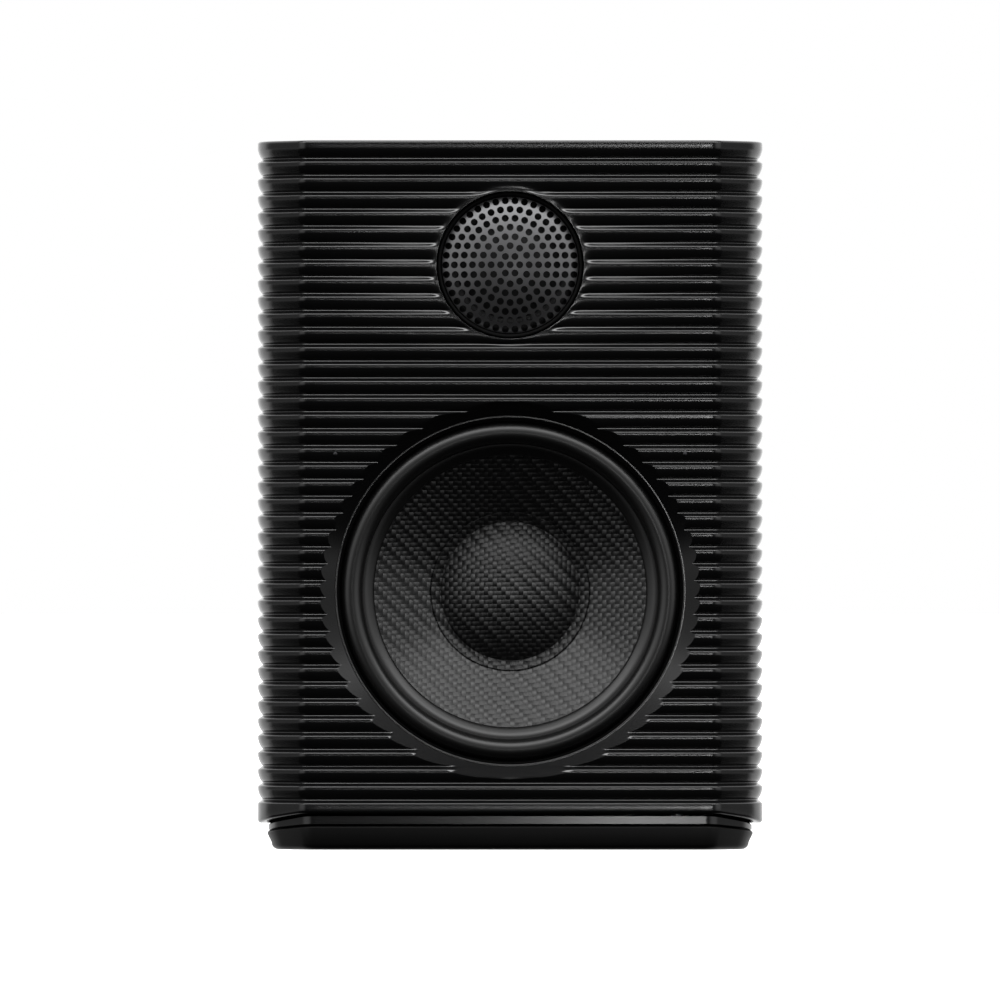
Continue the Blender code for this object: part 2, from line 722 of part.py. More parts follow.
def spider():
    """Corrugated cloth ring from the former out to the basket's shelf."""
    inner = CAP_R + GAP
    points = SPIDER_ROLLS * 2 + 1
    front = []
    for i in range(points + 1):
        radius = inner + (SPIDER_R - inner) * i / points
        lift = 0.0 if i in (0, points) else SPIDER_WAVE * (-1) ** i
        front.append((radius, SPIDER_DEPTH + lift))
    back = [(radius, depth + SPIDER_T) for radius, depth in front]
    outline = [front[-1]] + list(reversed(back)) + front[:-1]
    spun("woofer_spider", outline, True, at_woofer(), SPIDER_CLOTH, 28)


def basket():
    """Flange with four ears, windowed wall, shelf for the spider, floor on the top plate."""
    floor = BASKET_REAR - BASKET_T
    wall_r = SPIDER_R + GAP
    shelf_r = SPIDER_R - BASKET_SHELF
    inner_r = GASKET_R - 2 * GAP
    hole_r = TOP_PLATE_HOLE_R + 2 * GAP
    points = [
        (FLANGE_R, FLANGE_FRONT),
        (FLANGE_R, FLANGE_REAR),
        (inner_r + BASKET_WALL, FLANGE_REAR),
        (wall_r + BASKET_WALL, SHELF_DEPTH),
        (wall_r + BASKET_WALL, BASKET_REAR),
        (hole_r, BASKET_REAR),
        (hole_r, floor),
        (shelf_r, floor),
        (shelf_r, SHELF_DEPTH),
        (wall_r, SHELF_DEPTH),
        (inner_r, FLANGE_REAR),
        (inner_r, FLANGE_FRONT),
    ]
    frame = spun("woofer_basket", points, True, at_woofer(), BLACK_STEEL, 32)
    front = FLANGE_REAR + BASKET_WALL
    half = (SHELF_DEPTH - BASKET_WALL / 2 - front) / 2
    for i in range(2):
        window = block(
            f"cut_basket_window_{i}",
            (-FLANGE_R, -half, -BASKET_WINDOW_W / 2),
            (FLANGE_R, half, BASKET_WINDOW_W / 2),
        )
        window.location = at_woofer(front + half)
        window.rotation_euler = (0.0, pi / 4 + i * pi / 2, 0.0)
        cut(frame, window)
    skim = 0.00002
    for i, (x, z) in enumerate(ear_positions()):
        join(frame, front_rod(f"cut_ear_{i}", EAR_SIZE, FLANGE_FRONT + skim, FLANGE_REAR - skim, x, z, 12))
    for i, (x, z) in enumerate(ear_positions()):
        cut(frame, front_rod(f"cut_ear_hole_{i}", HOLE_R, BAFFLE, FLANGE_REAR + 0.002, x, z, 8))


def woofer():
    gasket_rear = GASKET_FRONT + GASKET_T
    ring("woofer_gasket", GASKET_R, FLANGE_R, GASKET_FRONT, gasket_rear, at_woofer(), FOAM, 32)
    surround()
    woofer_cone()
    dust_cap()
    spider()
    basket()
    coil_r = CAP_R + GAP
    tail = COIL_REAR + GAP
    ring("voice_coil_former", FORMER_R, CAP_R, FORMER_FRONT, tail, at_woofer(), POLYIMIDE, 24)
    ring("woofer_voice_coil", coil_r, coil_r + COIL_T, COIL_FRONT, COIL_REAR, at_woofer(), COPPER, 24)
    plate_rear = TOP_PLATE_FRONT + TOP_PLATE_T
    plate = (TOP_PLATE_HOLE_R, TOP_PLATE_R, TOP_PLATE_FRONT, plate_rear)
    ring("woofer_top_plate", *plate, at_woofer(), STEEL, 28)
    magnet_hole = TOP_PLATE_HOLE_R + MAGNET_CLEARANCE
    magnet_rear = MAGNET_FRONT + MAGNET_T
    ring("woofer_magnet", magnet_hole, MAGNET_R, MAGNET_FRONT, magnet_rear, at_woofer(), FERRITE, 28)
    yoke = [
        (0.0, TOP_PLATE_FRONT),
        (POLE_R, TOP_PLATE_FRONT),
        (POLE_R, YOKE_FRONT),
        (TOP_PLATE_R, YOKE_FRONT),
        (TOP_PLATE_R, YOKE_FRONT + YOKE_T),
        (0.0, YOKE_FRONT + YOKE_T),
    ]
    spun("woofer_yoke", yoke, False, at_woofer(), STEEL, 24)
    seat = FLANGE_REAR + GAP
    places = [(x, from_front(seat), z) for x, z in ear_positions()]
    screws("woofer_screw", screw_mesh(seat - BAFFLE + THREAD_BITE), places, FACING_REAR, STEEL)


# ---------------------------------------------------------------- tweeter
def at_tweeter(depth=0.0):
    return (0.0, from_front(depth), TWEETER_Z)


GRILLE_RIM = GRILLE_APEX + sag(GRILLE_R, GRILLE_SPHERE_R)
DOME_RIM = TWEETER_DOME_APEX + sag(TWEETER_DOME_R, TWEETER_DOME_SPHERE_R)
PLATE_FRONT = DOME_RIM + TWEETER_DOME_T + TWEETER_TRAVEL + GAP / 2
HOUSING_FLANGE = BAFFLE + GAP
HOUSING_REAR = max(PLATE_FRONT, HOUSING_FLANGE) + TWEETER_PLATE
TWEETER_GAP_R = TWEETER_DOME_R + TWEETER_COIL_T + TWEETER_COIL_CLEARANCE
POLE_FRONT = HOUSING_REAR + GAP
POLE_REAR = POLE_FRONT + TWEETER_POLE_T
TWEETER_POLE_R = TWEETER_DOME_R - TWEETER_COIL_CLEARANCE
TWEETER_MAGNET_FRONT = POLE_REAR + GAP
CUP_FLOOR = TWEETER_MAGNET_FRONT + TWEETER_MAGNET_T + GAP
GRILLE_SEAT_R = GRILLE_R + GAP
SHELF_R = GRILLE_SEAT_R - TWEETER_SHELF_WIDTH


def tweeter_housing():
    """Front ring, flange behind the baffle, shelf under the grille and plate over the magnet."""
    shelf = GRILLE_RIM + GRILLE_T + GAP
    points = [
        (TWEETER_RING_R, TWEETER_RING_DEPTH),
        (TWEETER_RING_R, HOUSING_FLANGE),
        (TWEETER_FLANGE_R, HOUSING_FLANGE),
        (TWEETER_FLANGE_R, HOUSING_REAR),
        (TWEETER_GAP_R, HOUSING_REAR),
        (TWEETER_GAP_R, PLATE_FRONT),
        (SHELF_R, PLATE_FRONT),
        (SHELF_R, shelf),
        (GRILLE_SEAT_R, shelf),
        (GRILLE_SEAT_R, TWEETER_RING_DEPTH),
    ]
    body = spun("tweeter_housing", points, True, at_tweeter(), BLACK_PLASTIC, 28)
    for i, (x, z) in enumerate(tweeter_screw_positions()):
        cut(body, front_rod(f"cut_housing_hole_{i}", HOLE_R, 0.002, HOUSING_REAR + 0.002, x, z, 8))


def tweeter_dome():
    """Silk dome with its own half roll out to the housing's plate."""
    front, back = dome(TWEETER_DOME_R, TWEETER_DOME_SPHERE_R, TWEETER_DOME_APEX, TWEETER_DOME_T, 3)
    rim_r = SHELF_R - GAP
    middle = (TWEETER_DOME_R + rim_r) / 2
    lift = DOME_RIM - TWEETER_ROLL_LIFT
    roll_front = [(middle, lift), (rim_r, DOME_RIM)]
    roll_back = [(rim_r, DOME_RIM + TWEETER_DOME_T), (middle, lift + TWEETER_DOME_T)]
    points = front + roll_front + roll_back + list(reversed(back))
    spun("tweeter_dome", points, False, at_tweeter(), SILK, 24)


def tweeter():
    tweeter_housing()
    front, back = dome(GRILLE_R, GRILLE_SPHERE_R, GRILLE_APEX, GRILLE_T, 3)
    spun("tweeter_grille", front + list(reversed(back)), False, at_tweeter(), GRILLE_METAL, 28)
    tweeter_dome()
    coil = (TWEETER_DOME_R, TWEETER_DOME_R + TWEETER_COIL_T)
    coil_front = DOME_RIM + TWEETER_DOME_T + GAP
    coil_rear = POLE_REAR + TWEETER_TRAVEL
    ring("tweeter_coil", *coil, coil_front, coil_rear, at_tweeter(), COPPER, 24)
    disc = {"location": at_tweeter(), "turn": FACING_FRONT, "sides": 24}
    rod("tweeter_pole_plate", TWEETER_POLE_R, -POLE_REAR, -POLE_FRONT, material=STEEL, **disc)
    magnet = (-TWEETER_MAGNET_FRONT - TWEETER_MAGNET_T, -TWEETER_MAGNET_FRONT)
    rod("tweeter_magnet", TWEETER_POLE_R - 2 * GAP, *magnet, material=NICKEL, **disc)
    wall_r = TWEETER_GAP_R + TWEETER_CUP_T
    cup = [
        (0.0, CUP_FLOOR),
        (TWEETER_GAP_R, CUP_FLOOR),
        (TWEETER_GAP_R, POLE_FRONT),
        (wall_r, POLE_FRONT),
        (wall_r, CUP_FLOOR + TWEETER_CUP_T),
        (0.0, CUP_FLOOR + TWEETER_CUP_T),
    ]
    spun("tweeter_cup", cup, False, at_tweeter(), STEEL, 24)
    seat = HOUSING_REAR + GAP
    places = [(x, from_front(seat), z) for x, z in tweeter_screw_positions()]
    screws("tweeter_screw", screw_mesh(seat - BAFFLE + THREAD_BITE), places, FACING_REAR, STEEL)


# ---------------------------------------------------------------- rear panel
def on_panel(x, z, y=PANEL_FACE_Y):
    return (x, y, z)


def panel_hole(panel, name, radius, x, z, sides):
    depth = PANEL_T + 0.002
    where = on_panel(x, z)
    cut(panel, rod(f"cut_{name}", radius + GAP, -depth, 0.002, where, FACING_REAR, sides=sides))


def rear_panel():
    panel = block(
        "rear_panel",
        (-PANEL_HALF_W, PANEL_BACK_Y, PANEL_Z0),
        (PANEL_HALF_W, PANEL_FACE_Y, PANEL_Z1),
        SATIN_BLACK,
    )
    panel_hole(panel, "port_hole", PORT_R + PORT_T, 0.0, PORT_Z, 24)
    for i in (-1, 0, 1):
        panel_hole(panel, f"control_hole_{i + 1}", POT_BUSH_R, i * CONTROL_PITCH, CONTROL_Z, 12)
    for i in range(2):
        panel_hole(panel, f"line_hole_{i}", PHONO_R, LINE_LEFT_X - i * LINE_PITCH, LINE_Z, 12)
    panel_hole(panel, "aux_hole", AUX_R, AUX_X, LINE_Z, 12)
    panel_hole(panel, "link_hole", JACK_R, LINK_X, POWER_Z, 12)
    panel_hole(panel, "dc_hole", JACK_R, DC_X, POWER_Z, 12)
    half_w = SWITCH_W / 2 - SWITCH_BEZEL / 2
    half_h = SWITCH_H / 2 - SWITCH_BEZEL / 2
    switch_hole = block(
        "cut_switch_hole",
        (SWITCH_X - half_w, PANEL_BACK_Y - 0.002, LINE_Z - half_h),
        (SWITCH_X + half_w, PANEL_FACE_Y + 0.002, LINE_Z + half_h),
    )
    cut(panel, switch_hole)
    for i, (x, z) in enumerate(panel_screw_positions()):
        panel_hole(panel, f"panel_screw_hole_{i}", SCREW_R, x, z, 8)
    places = [(x, PANEL_FACE_Y + GAP, z) for x, z in panel_screw_positions()]
    screws("panel_screw", screw_mesh(PANEL_T + 0.0024), places, FACING_REAR, BLACK_STEEL)


def port_tube():
    """Straight tube with a flared mouth that overlaps the panel's outer face."""
    outer = PORT_R + PORT_T
    proud = PORT_FLARE_T + GAP
    profile = [
        (PORT_FLARE_R - 0.0010, proud),
        (PORT_FLARE_R, proud - 0.0006),
        (PORT_FLARE_R, GAP),
        (outer, GAP),
        (outer, proud - PORT_LENGTH),
        (PORT_R, proud - PORT_LENGTH),
        (PORT_R, -0.0060),
        (PORT_R + 0.0010, -0.0018),
        (PORT_R + 0.0030, proud - 0.0004),
    ]
    turned("bass_port", profile, True, on_panel(0.0, PORT_Z), FACING_REAR, BLACK_PLASTIC, steps=28)


def knob(name, radius, height, x, material):
    """Turned knob with a pointer groove in its face and a socket for the shaft."""
    profile = [
        (0.0, height),
        (radius - 0.0008, height),
        (radius, height - 0.0008),
        (radius, GAP),
        (SHAFT_R + GAP, GAP),
        (SHAFT_R + GAP, height * KNOB_SOCKET),
        (0.0, height * KNOB_SOCKET),
    ]
    cap = turned(name, profile, False, on_panel(x, CONTROL_Z), FACING_REAR, material, steps=24)
    pointer = block(
        f"cut_{name}_pointer",
        (x - 0.0004, PANEL_FACE_Y + height - 0.0005, CONTROL_Z + radius * 0.45),
        (x + 0.0004, PANEL_FACE_Y + height + 0.001, CONTROL_Z + radius + 0.001),
    )
    cut(cap, pointer)


def control(prefix, radius, height, x):
    """A pot behind the panel, its shaft, and the knob on it."""
    knob(f"{prefix}_knob", radius, height, x, KNOB_PLASTIC)
    where = on_panel(x, CONTROL_Z)
    body_face = PANEL_T + GAP
    bore_depth = body_face + POT_SIZE / 2
    shaft_top = height * KNOB_SOCKET - GAP
    shaft = (-bore_depth + GAP, shaft_top)
    rod(f"{prefix}_shaft", SHAFT_R, *shaft, where, FACING_REAR, STEEL, sides=16)
    half = POT_SIZE / 2
    pot = block(
        f"{prefix}_pot",
        (x - half, REAR_OF_BOARD + 2 * GAP, CONTROL_Z - half),
        (x + half, PANEL_BACK_Y - GAP, CONTROL_Z + half),
        BLACK_STEEL,
    )
    bush = rod(f"cut_{prefix}_bush", POT_BUSH_R, -body_face - 0.002, -GAP, where, FACING_REAR, sides=16)
    bore = rod(f"cut_{prefix}_bore", SHAFT_R + GAP, -bore_depth, 0.002, where, FACING_REAR, sides=16)
    join(pot, bush)
    cut(pot, bore)


def phono_jack(name, x, material):
    """Metal shell with a flange on the panel, and a coloured insert with the centre hole."""
    rear = REAR_OF_BOARD + 2 * GAP - PANEL_FACE_Y
    where = on_panel(x, LINE_Z)
    bore = PHONO_R - PHONO_WALL
    shell = [
        (PHONO_R, PHONO_PROUD),
        (PHONO_R, PHONO_FLANGE_T),
        (PHONO_FLANGE_R, PHONO_FLANGE_T),
        (PHONO_FLANGE_R, GAP),
        (PHONO_R, GAP),
        (PHONO_R, rear),
        (bore, rear),
        (bore, PHONO_PROUD),
    ]
    turned(f"{name}_shell", shell, True, where, FACING_REAR, NICKEL, steps=16)
    face = PHONO_PROUD - 2 * GAP
    insert = [
        (0.0, -PANEL_T),
        (PHONO_HOLE_R, -PANEL_T),
        (PHONO_HOLE_R, face),
        (bore - GAP, face),
        (bore - GAP, rear),
        (0.0, rear),
    ]
    turned(f"{name}_insert", insert, False, where, FACING_REAR, material, steps=16)


def socket(name, radius, hole, x, z, material):
    """A barrel jack: rounded nut outside, barrel through the panel, blind hole."""
    rear = REAR_OF_BOARD + 2 * GAP - PANEL_FACE_Y
    outline = [
        (0.0, rear + SOCKET_NUT_T),
        (hole, rear + SOCKET_NUT_T),
        (hole, SOCKET_NUT_T),
        (radius + SOCKET_NUT_LIP, SOCKET_NUT_T),
        (radius + SOCKET_NUT_LIP, GAP),
        (radius, GAP),
        (radius, rear),
        (0.0, rear),
    ]
    turned(name, outline, False, on_panel(x, z), FACING_REAR, material, steps=16)


def power_switch():
    """Snap-in switch body with a bezel, and a two-sided rocker resting on its off side."""
    half_w = SWITCH_W / 2
    half_h = SWITCH_H / 2
    inner_w = half_w - 2 * SWITCH_BEZEL
    inner_h = half_h - 2 * SWITCH_BEZEL
    face = PANEL_FACE_Y + GAP
    body = block(
        "power_switch",
        (SWITCH_X - half_w, face, LINE_Z - half_h),
        (SWITCH_X + half_w, face + SWITCH_BEZEL, LINE_Z + half_h),
        BLACK_PLASTIC,
    )
    neck_w = half_w - SWITCH_BEZEL
    neck_h = half_h - SWITCH_BEZEL
    neck = block(
        "cut_switch_neck",
        (SWITCH_X - neck_w, REAR_OF_BOARD + 2 * GAP, LINE_Z - neck_h),
        (SWITCH_X + neck_w, face + SWITCH_BEZEL / 2, LINE_Z + neck_h),
    )
    join(body, neck)
    pocket = block(
        "cut_switch_pocket",
        (SWITCH_X - inner_w, PANEL_FACE_Y - ROCKER_POCKET, LINE_Z - inner_h),
        (SWITCH_X + inner_w, face + 2 * SWITCH_BEZEL, LINE_Z + inner_h),
    )
    cut(body, pocket)
    reach = inner_h - 2 * GAP - ROCKER_CROWN * sin(ROCKER_TILT)
    edge = ROCKER_CROWN + reach * tan(ROCKER_TILT)
    outline = [
        (-ROCKER_KEEL, -reach * 0.75),
        (-ROCKER_KEEL, reach * 0.75),
        (0.0, reach),
        (edge, reach),
        (ROCKER_CROWN, 0.0),
        (edge, -reach),
        (0.0, -reach),
    ]
    rocker = prism("power_rocker", outline, -inner_w + GAP, inner_w - GAP, "X", BLACK_PLASTIC)
    rocker.location = (SWITCH_X, PANEL_FACE_Y - ROCKER_PIVOT, LINE_Z)
    rocker.rotation_euler = (-ROCKER_TILT, 0.0, 0.0)


def electronics():
    front = REAR_OF_BOARD - BOARD_T
    block(
        "amplifier_board",
        (-BOARD_HALF_W, front, BOARD_BOTTOM),
        (BOARD_HALF_W, REAR_OF_BOARD, BOARD_TOP),
        BOARD_GREEN,
    )
    face = front - GAP
    for i, side in enumerate((-1, 1), start=1):
        where = (side * CAPACITOR_R * 1.25, face, BOARD_BOTTOM + CAPACITOR_R * 1.5)
        can = (CAPACITOR_R, 0.0, CAPACITOR_H)
        rod(f"capacitor_{i}", *can, where, FACING_FRONT, CAN_SLEEVE, sides=20)
    corner = CHOKE_R * 1.5
    where = (BOARD_HALF_W - corner, face - CHOKE_H, BOARD_TOP - corner)
    ring("output_choke", CHOKE_R * 0.4, CHOKE_R, 0.0, CHOKE_H, where, COPPER, 20)


def main():
    cabinet()
    base()
    places = [(x, y, LEVEL_PAD_TOP) for x, y in base_screw_positions()]
    screws("base_screw", screw_mesh(NECK + 0.0024), places, DOWNWARD, STEEL)
    woofer()
    tweeter()
    rear_panel()
    port_tube()
    control("volume", VOLUME_KNOB_R, VOLUME_KNOB_H, 0.0)
    control("treble", TONE_KNOB_R, TONE_KNOB_H, CONTROL_PITCH)
    control("bass", TONE_KNOB_R, TONE_KNOB_H, -CONTROL_PITCH)
    phono_jack("line_white", LINE_LEFT_X, WHITE_PLASTIC)
    phono_jack("line_red", LINE_LEFT_X - LINE_PITCH, RED_PLASTIC)
    socket("aux_jack", AUX_R, AUX_HOLE_R, AUX_X, LINE_Z, BLACK_PLASTIC)
    socket("link_jack", JACK_R, JACK_HOLE_R, LINK_X, POWER_Z, NICKEL)
    socket("dc_jack", JACK_R, JACK_HOLE_R, DC_X, POWER_Z, BLACK_PLASTIC)
    power_switch()
    electronics()


main()
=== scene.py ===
from math import atan2, cos, pi, radians, sin, sqrt, tan

import bmesh
import bpy
import numpy as np
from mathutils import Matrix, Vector
from mathutils.geometry import delaunay_2d_cdt


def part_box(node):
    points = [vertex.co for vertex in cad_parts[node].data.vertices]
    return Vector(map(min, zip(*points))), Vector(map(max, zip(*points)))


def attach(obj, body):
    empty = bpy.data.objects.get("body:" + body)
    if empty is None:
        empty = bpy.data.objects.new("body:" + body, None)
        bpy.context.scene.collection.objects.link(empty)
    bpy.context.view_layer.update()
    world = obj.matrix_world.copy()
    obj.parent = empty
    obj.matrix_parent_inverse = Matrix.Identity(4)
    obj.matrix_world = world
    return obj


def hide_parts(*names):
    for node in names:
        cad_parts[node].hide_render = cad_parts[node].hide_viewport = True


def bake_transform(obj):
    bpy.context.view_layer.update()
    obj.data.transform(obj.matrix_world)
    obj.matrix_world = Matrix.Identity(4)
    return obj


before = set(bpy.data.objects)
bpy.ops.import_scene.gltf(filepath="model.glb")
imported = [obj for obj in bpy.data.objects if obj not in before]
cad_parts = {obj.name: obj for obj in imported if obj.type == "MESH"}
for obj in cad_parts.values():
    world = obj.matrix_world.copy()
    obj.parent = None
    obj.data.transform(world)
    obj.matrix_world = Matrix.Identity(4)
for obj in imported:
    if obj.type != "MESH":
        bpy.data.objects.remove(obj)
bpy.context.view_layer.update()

bl_info = {
    "name": "Bookshelf Speaker",
    "version": (1, 0, 0),
    "blender": (4, 5, 0),
    "location": "View3D > Sidebar > Speaker",
    "description": "Builds the visible surfaces of a ribbed bookshelf speaker round its frame",
    "category": "Object",
}

FIXED = "cabinet_assembly"
WOOFER_BODY = "woofer_diaphragm"
TWEETER_BODY = "tweeter_diaphragm"


# ---------------------------------------------------------------- places read from the frame
def middle(node):
    """Centre of a node's box."""
    low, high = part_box(node)
    return (low + high) / 2


def radius_of(node):
    """Half the width of a round node."""
    low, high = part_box(node)
    return (high.x - low.x) / 2


CABINET_LOW, CABINET_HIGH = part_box("cabinet")
HALF_WIDTH = CABINET_HIGH.x
FRONT = CABINET_LOW.y
BACK = CABINET_HIGH.y
TOP = CABINET_HIGH.z
WOOFER_Z = middle("woofer_cone").z
TWEETER_Z = middle("tweeter_dome").z
PAD_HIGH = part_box("base_pad")[1]
GAP = 0.0003  # between neighbouring surfaces

# Cabinet
GROOVES = 39
FLANK_BOW = 0.92  # share of the quarter ellipse that a rib's flank follows
SHOULDER_ROWS = np.array([0.0, 0.07, 0.15, 0.25, 0.38, 0.5, 0.62, 0.75, 0.85, 0.93])
TWEETER_HOLE = 0.0175  # radius
SINK_SLOPE = 1.18  # widening of the countersink per unit of depth
WALL_BACK = 0.0040  # depth of the walls behind the round openings
NOSE = 0.0140  # stretch at the front over which the bottom edge rises
UNDERSIDE_RISE = 0.0024
UNDERSIDE_LOW = CABINET_LOW.z - 0.0002
BOTTOM_ROUND = 0.0008
BOTTOM_LIP = 0.008  # width of the level face inside the bottom edge
DOT_APART = 0.0414
DOT_HEIGHT = 0.0938

# Base
BASE_ROUND = 0.0048  # least radius between the front and the chamfer
BASE_REACH = 0.030  # how far the hidden faces of neck and pad reach inward
PAD_RISE = 0.0017

# Drivers: depths count back from the front plane
GRILLE_SPHERE = 0.0340
GRILLE_APEX = FRONT - 0.0016
GRILLE_THICKNESS = 0.0005
SURROUND_FOOT = 0.0054
ROLL = 0.0026
ROLL_MIDDLE = 0.0376
CONE_SLOPE = tan(radians(32.0))
SPIDER_FOOT = 0.0223
SPIDER_RISE = -0.0014

FINISHES = {}
GROUPS = {}


# ---------------------------------------------------------------- what a user would change
def length(name, about, default):
    """Property for a length in metres."""
    return bpy.props.FloatProperty(
        name=name, description=about, default=default, min=0.0, subtype="DISTANCE", unit="LENGTH"
    )


def colour(name, about, default):
    """Property for a colour."""
    return bpy.props.FloatVectorProperty(
        name=name, description=about, default=default, subtype="COLOR", size=3, min=0.0, max=1.0
    )


def number(name, about, default):
    """Property for a plain number."""
    return bpy.props.FloatProperty(name=name, description=about, default=default, min=0.0)


class SpeakerSizes(bpy.types.PropertyGroup):
    """Sizes of the visible surfaces, in metres."""

    rib_pitch: length("Rib pitch", "Height from one groove to the next", 0.0040)
    rib_depth: length("Rib depth", "Depth of the grooves", 0.0011)
    rib_flank: length("Rib flank", "Height of a rib's long lower flank", 0.0024)
    rib_shoulder: length("Rib shoulder", "Height of a rib's short upper flank", 0.00105)
    top_groove: length("Top groove", "From the top edge down to the first groove", 0.0042)
    top_round: length("Top round", "Radius of the top edge", 0.0006)
    front_flat: length("Front flat", "Half width of the flat front", 0.0478)
    front_round: length("Front round", "Radius between the front and the chamfer", 0.0037)
    corner_round: length("Corner round", "Radius between the chamfer and the side", 0.0125)
    dish_width: length("Dish width", "Half width of the dish round the tweeter", 0.0450)
    dish_height: length("Dish height", "Half height of the dish", 0.0230)
    dish_depth: length("Dish depth", "Depth of the dish at its middle", 0.0009)
    groove_end: length("Groove end", "Length over which the grooves run out by the tweeter", 0.0022)
    throat_radius: length("Throat", "Radius of the hole the woofer shows through", 0.0416)
    sink_radius: length("Countersink", "Radius of the countersink at the rib crests", 0.0450)
    hole_radius: length("Grille hole", "Radius of a hole in the grille", 0.00083)
    hole_spacing: length("Hole spacing", "Distance between rings of holes", 0.00226)
    tow: length("Tow", "Width of one carbon tow", 0.00104)


class SpeakerColours(bpy.types.PropertyGroup):
    """Colours of the main finishes."""

    enamel: colour("Enamel", "Satin enamel of the cabinet", (0.0016, 0.0016, 0.0017))
    neck: colour("Neck", "Smooth enamel of the neck", (0.0020, 0.0020, 0.0021))
    rubber: colour("Rubber", "Foot pad", (0.0018, 0.0018, 0.0018))
    surround: colour("Surround", "Woofer surround", (0.0015, 0.0015, 0.0015))
    carbon: colour("Carbon", "Carbon tows", (0.0040, 0.0040, 0.0042))
    grille: colour("Grille", "Perforated grille", (0.14, 0.14, 0.144))
    silk: colour("Silk", "Tweeter dome", (0.008, 0.008, 0.0085))


class SpeakerStage(bpy.types.PropertyGroup):
    """Floor, lights and camera."""

    view_distance: length("View distance", "Camera to the front of the cabinet", 4.0)
    view_height: length("View height", "Camera above the floor", 0.063)
    aim_height: length("Aim height", "Height of the point looked at", 0.0829)
    view_width: length("View width", "Width of the view at the front of the cabinet", 0.2368)
    front: number("Front", "Brightness straight in front", 0.16)
    overhead: number("Overhead", "Brightness of the softbox up in front", 4.2)
    behind: number("Behind", "Brightness behind the object", 1.6)
    wings: number("Wings", "Brightness half way round to the sides", 1.1)
    side: number("Side", "Brightness at the sides", 0.32)
    strip: number("Front strip", "Power of the strip in front, in watts", 0.13)
    rib_box: number(
        "Rib softbox", "Power of the softbox that only the casting receives, in watts", 48.0
    )


def sizes():
    return bpy.context.scene.speaker_sizes


def colours():
    return bpy.context.scene.speaker_colours


# ---------------------------------------------------------------- mesh helpers
def grid_faces(rows, columns, closed=False):
    """Quads of a grid of rows by columns, as an array; closed joins the last column to the first."""
    row, column = np.meshgrid(
        np.arange(rows - 1), np.arange(columns if closed else columns - 1), indexing="ij"
    )
    beside = (column + 1) % columns
    corners = (
        row * columns + column,
        row * columns + beside,
        (row + 1) * columns + beside,
        (row + 1) * columns + column,
    )
    return np.stack([c.ravel() for c in corners], axis=1)


def make_piece(name, points, faces, finish, body=FIXED, stands_for=(), slot=None, sharp=38.0, out=None):
    """Mesh from arrays: doubles merged, normals out, smooth except past the sharp angle (degrees)."""
    mesh = bpy.data.meshes.new(name)
    faces = [list(f) for f in faces]
    mesh.from_pydata(np.asarray(points).reshape(-1, 3).tolist(), [], faces)
    work = bmesh.new()
    work.from_mesh(mesh)
    bmesh.ops.remove_doubles(work, verts=work.verts, dist=2e-6)
    bmesh.ops.dissolve_degenerate(work, edges=work.edges, dist=1e-6)
    loose = [v for v in work.verts if not v.link_faces]
    bmesh.ops.delete(work, geom=loose, context="VERTS")
    if out is None:
        bmesh.ops.recalc_face_normals(work, faces=work.faces)
    elif out < 0:
        bmesh.ops.reverse_faces(work, faces=work.faces)
    work.to_mesh(mesh)
    work.free()
    mesh.shade_smooth()
    mesh.set_sharp_from_angle(angle=radians(sharp))
    mesh.materials.append(finish)
    piece = bpy.data.objects.new(name, mesh)
    bpy.context.scene.collection.objects.link(piece)
    if body is not None:
        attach(piece, body)
    for node in stands_for:
        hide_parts(node)
    return piece


def rounded(points, cut, steps=3, closed=True):
    """Outline whose corners are rounded: each corner becomes a parabola between the points that lie
    cut metres along its two sides. A corner on the axis or with a cut of 0 stays."""
    points = np.asarray(points, float)
    cuts = np.broadcast_to(cut, (len(points),))
    out = []
    last = len(points) - 1
    for i, corner in enumerate(points):
        ends = not closed and i in (0, last)
        if cuts[i] == 0 or ends:
            out.append(corner[None, :])
            continue
        before = points[i - 1] - corner
        after = points[(i + 1) % len(points)] - corner
        reach_before = min(cuts[i], 0.48 * np.linalg.norm(before))
        reach_after = min(cuts[i], 0.48 * np.linalg.norm(after))
        start = corner + before / np.linalg.norm(before) * reach_before
        end = corner + after / np.linalg.norm(after) * reach_after
        s = np.linspace(0, 1, steps + 1)[:, None]
        out.append((1 - s) ** 2 * start + 2 * s * (1 - s) * corner + s**2 * end)
    return np.concatenate(out)


def arc(centre, radius, start, end, steps):
    """Points on a circular arc, angles in radians."""
    a = np.linspace(start, end, steps + 1)
    return np.stack([centre[0] + radius * np.cos(a), centre[1] + radius * np.sin(a)], axis=1)


def turned(profile, centre, steps, wave=None):
    """Points of a profile turned about an axis parallel to Y: a profile point (r, d) at angle a goes to
    centre + (r cos a, d, r sin a). wave(r, d, a) may change r."""
    profile = np.asarray(profile, float)
    r, a = np.meshgrid(profile[:, 0], np.linspace(0, 2 * pi, steps, endpoint=False), indexing="ij")
    d = np.repeat(profile[:, 1:2], steps, axis=1)
    if wave is not None:
        r = wave(r, d, a)
    x, y, z = centre
    return np.stack([x + r * np.cos(a), y + d, z + r * np.sin(a)], axis=2)


def turned_piece(name, profile, centre, finish, steps=96, closed=True, wave=None, **more):
    """Solid of revolution. A closed profile is a loop; an open one starts and ends on the axis."""
    profile = np.asarray(profile, float)
    if closed:
        profile = np.concatenate([profile, profile[:1]])
    points = turned(profile, centre, steps, wave)
    faces = grid_faces(len(profile), steps, closed=True)
    return make_piece(name, points, faces, finish, **more)


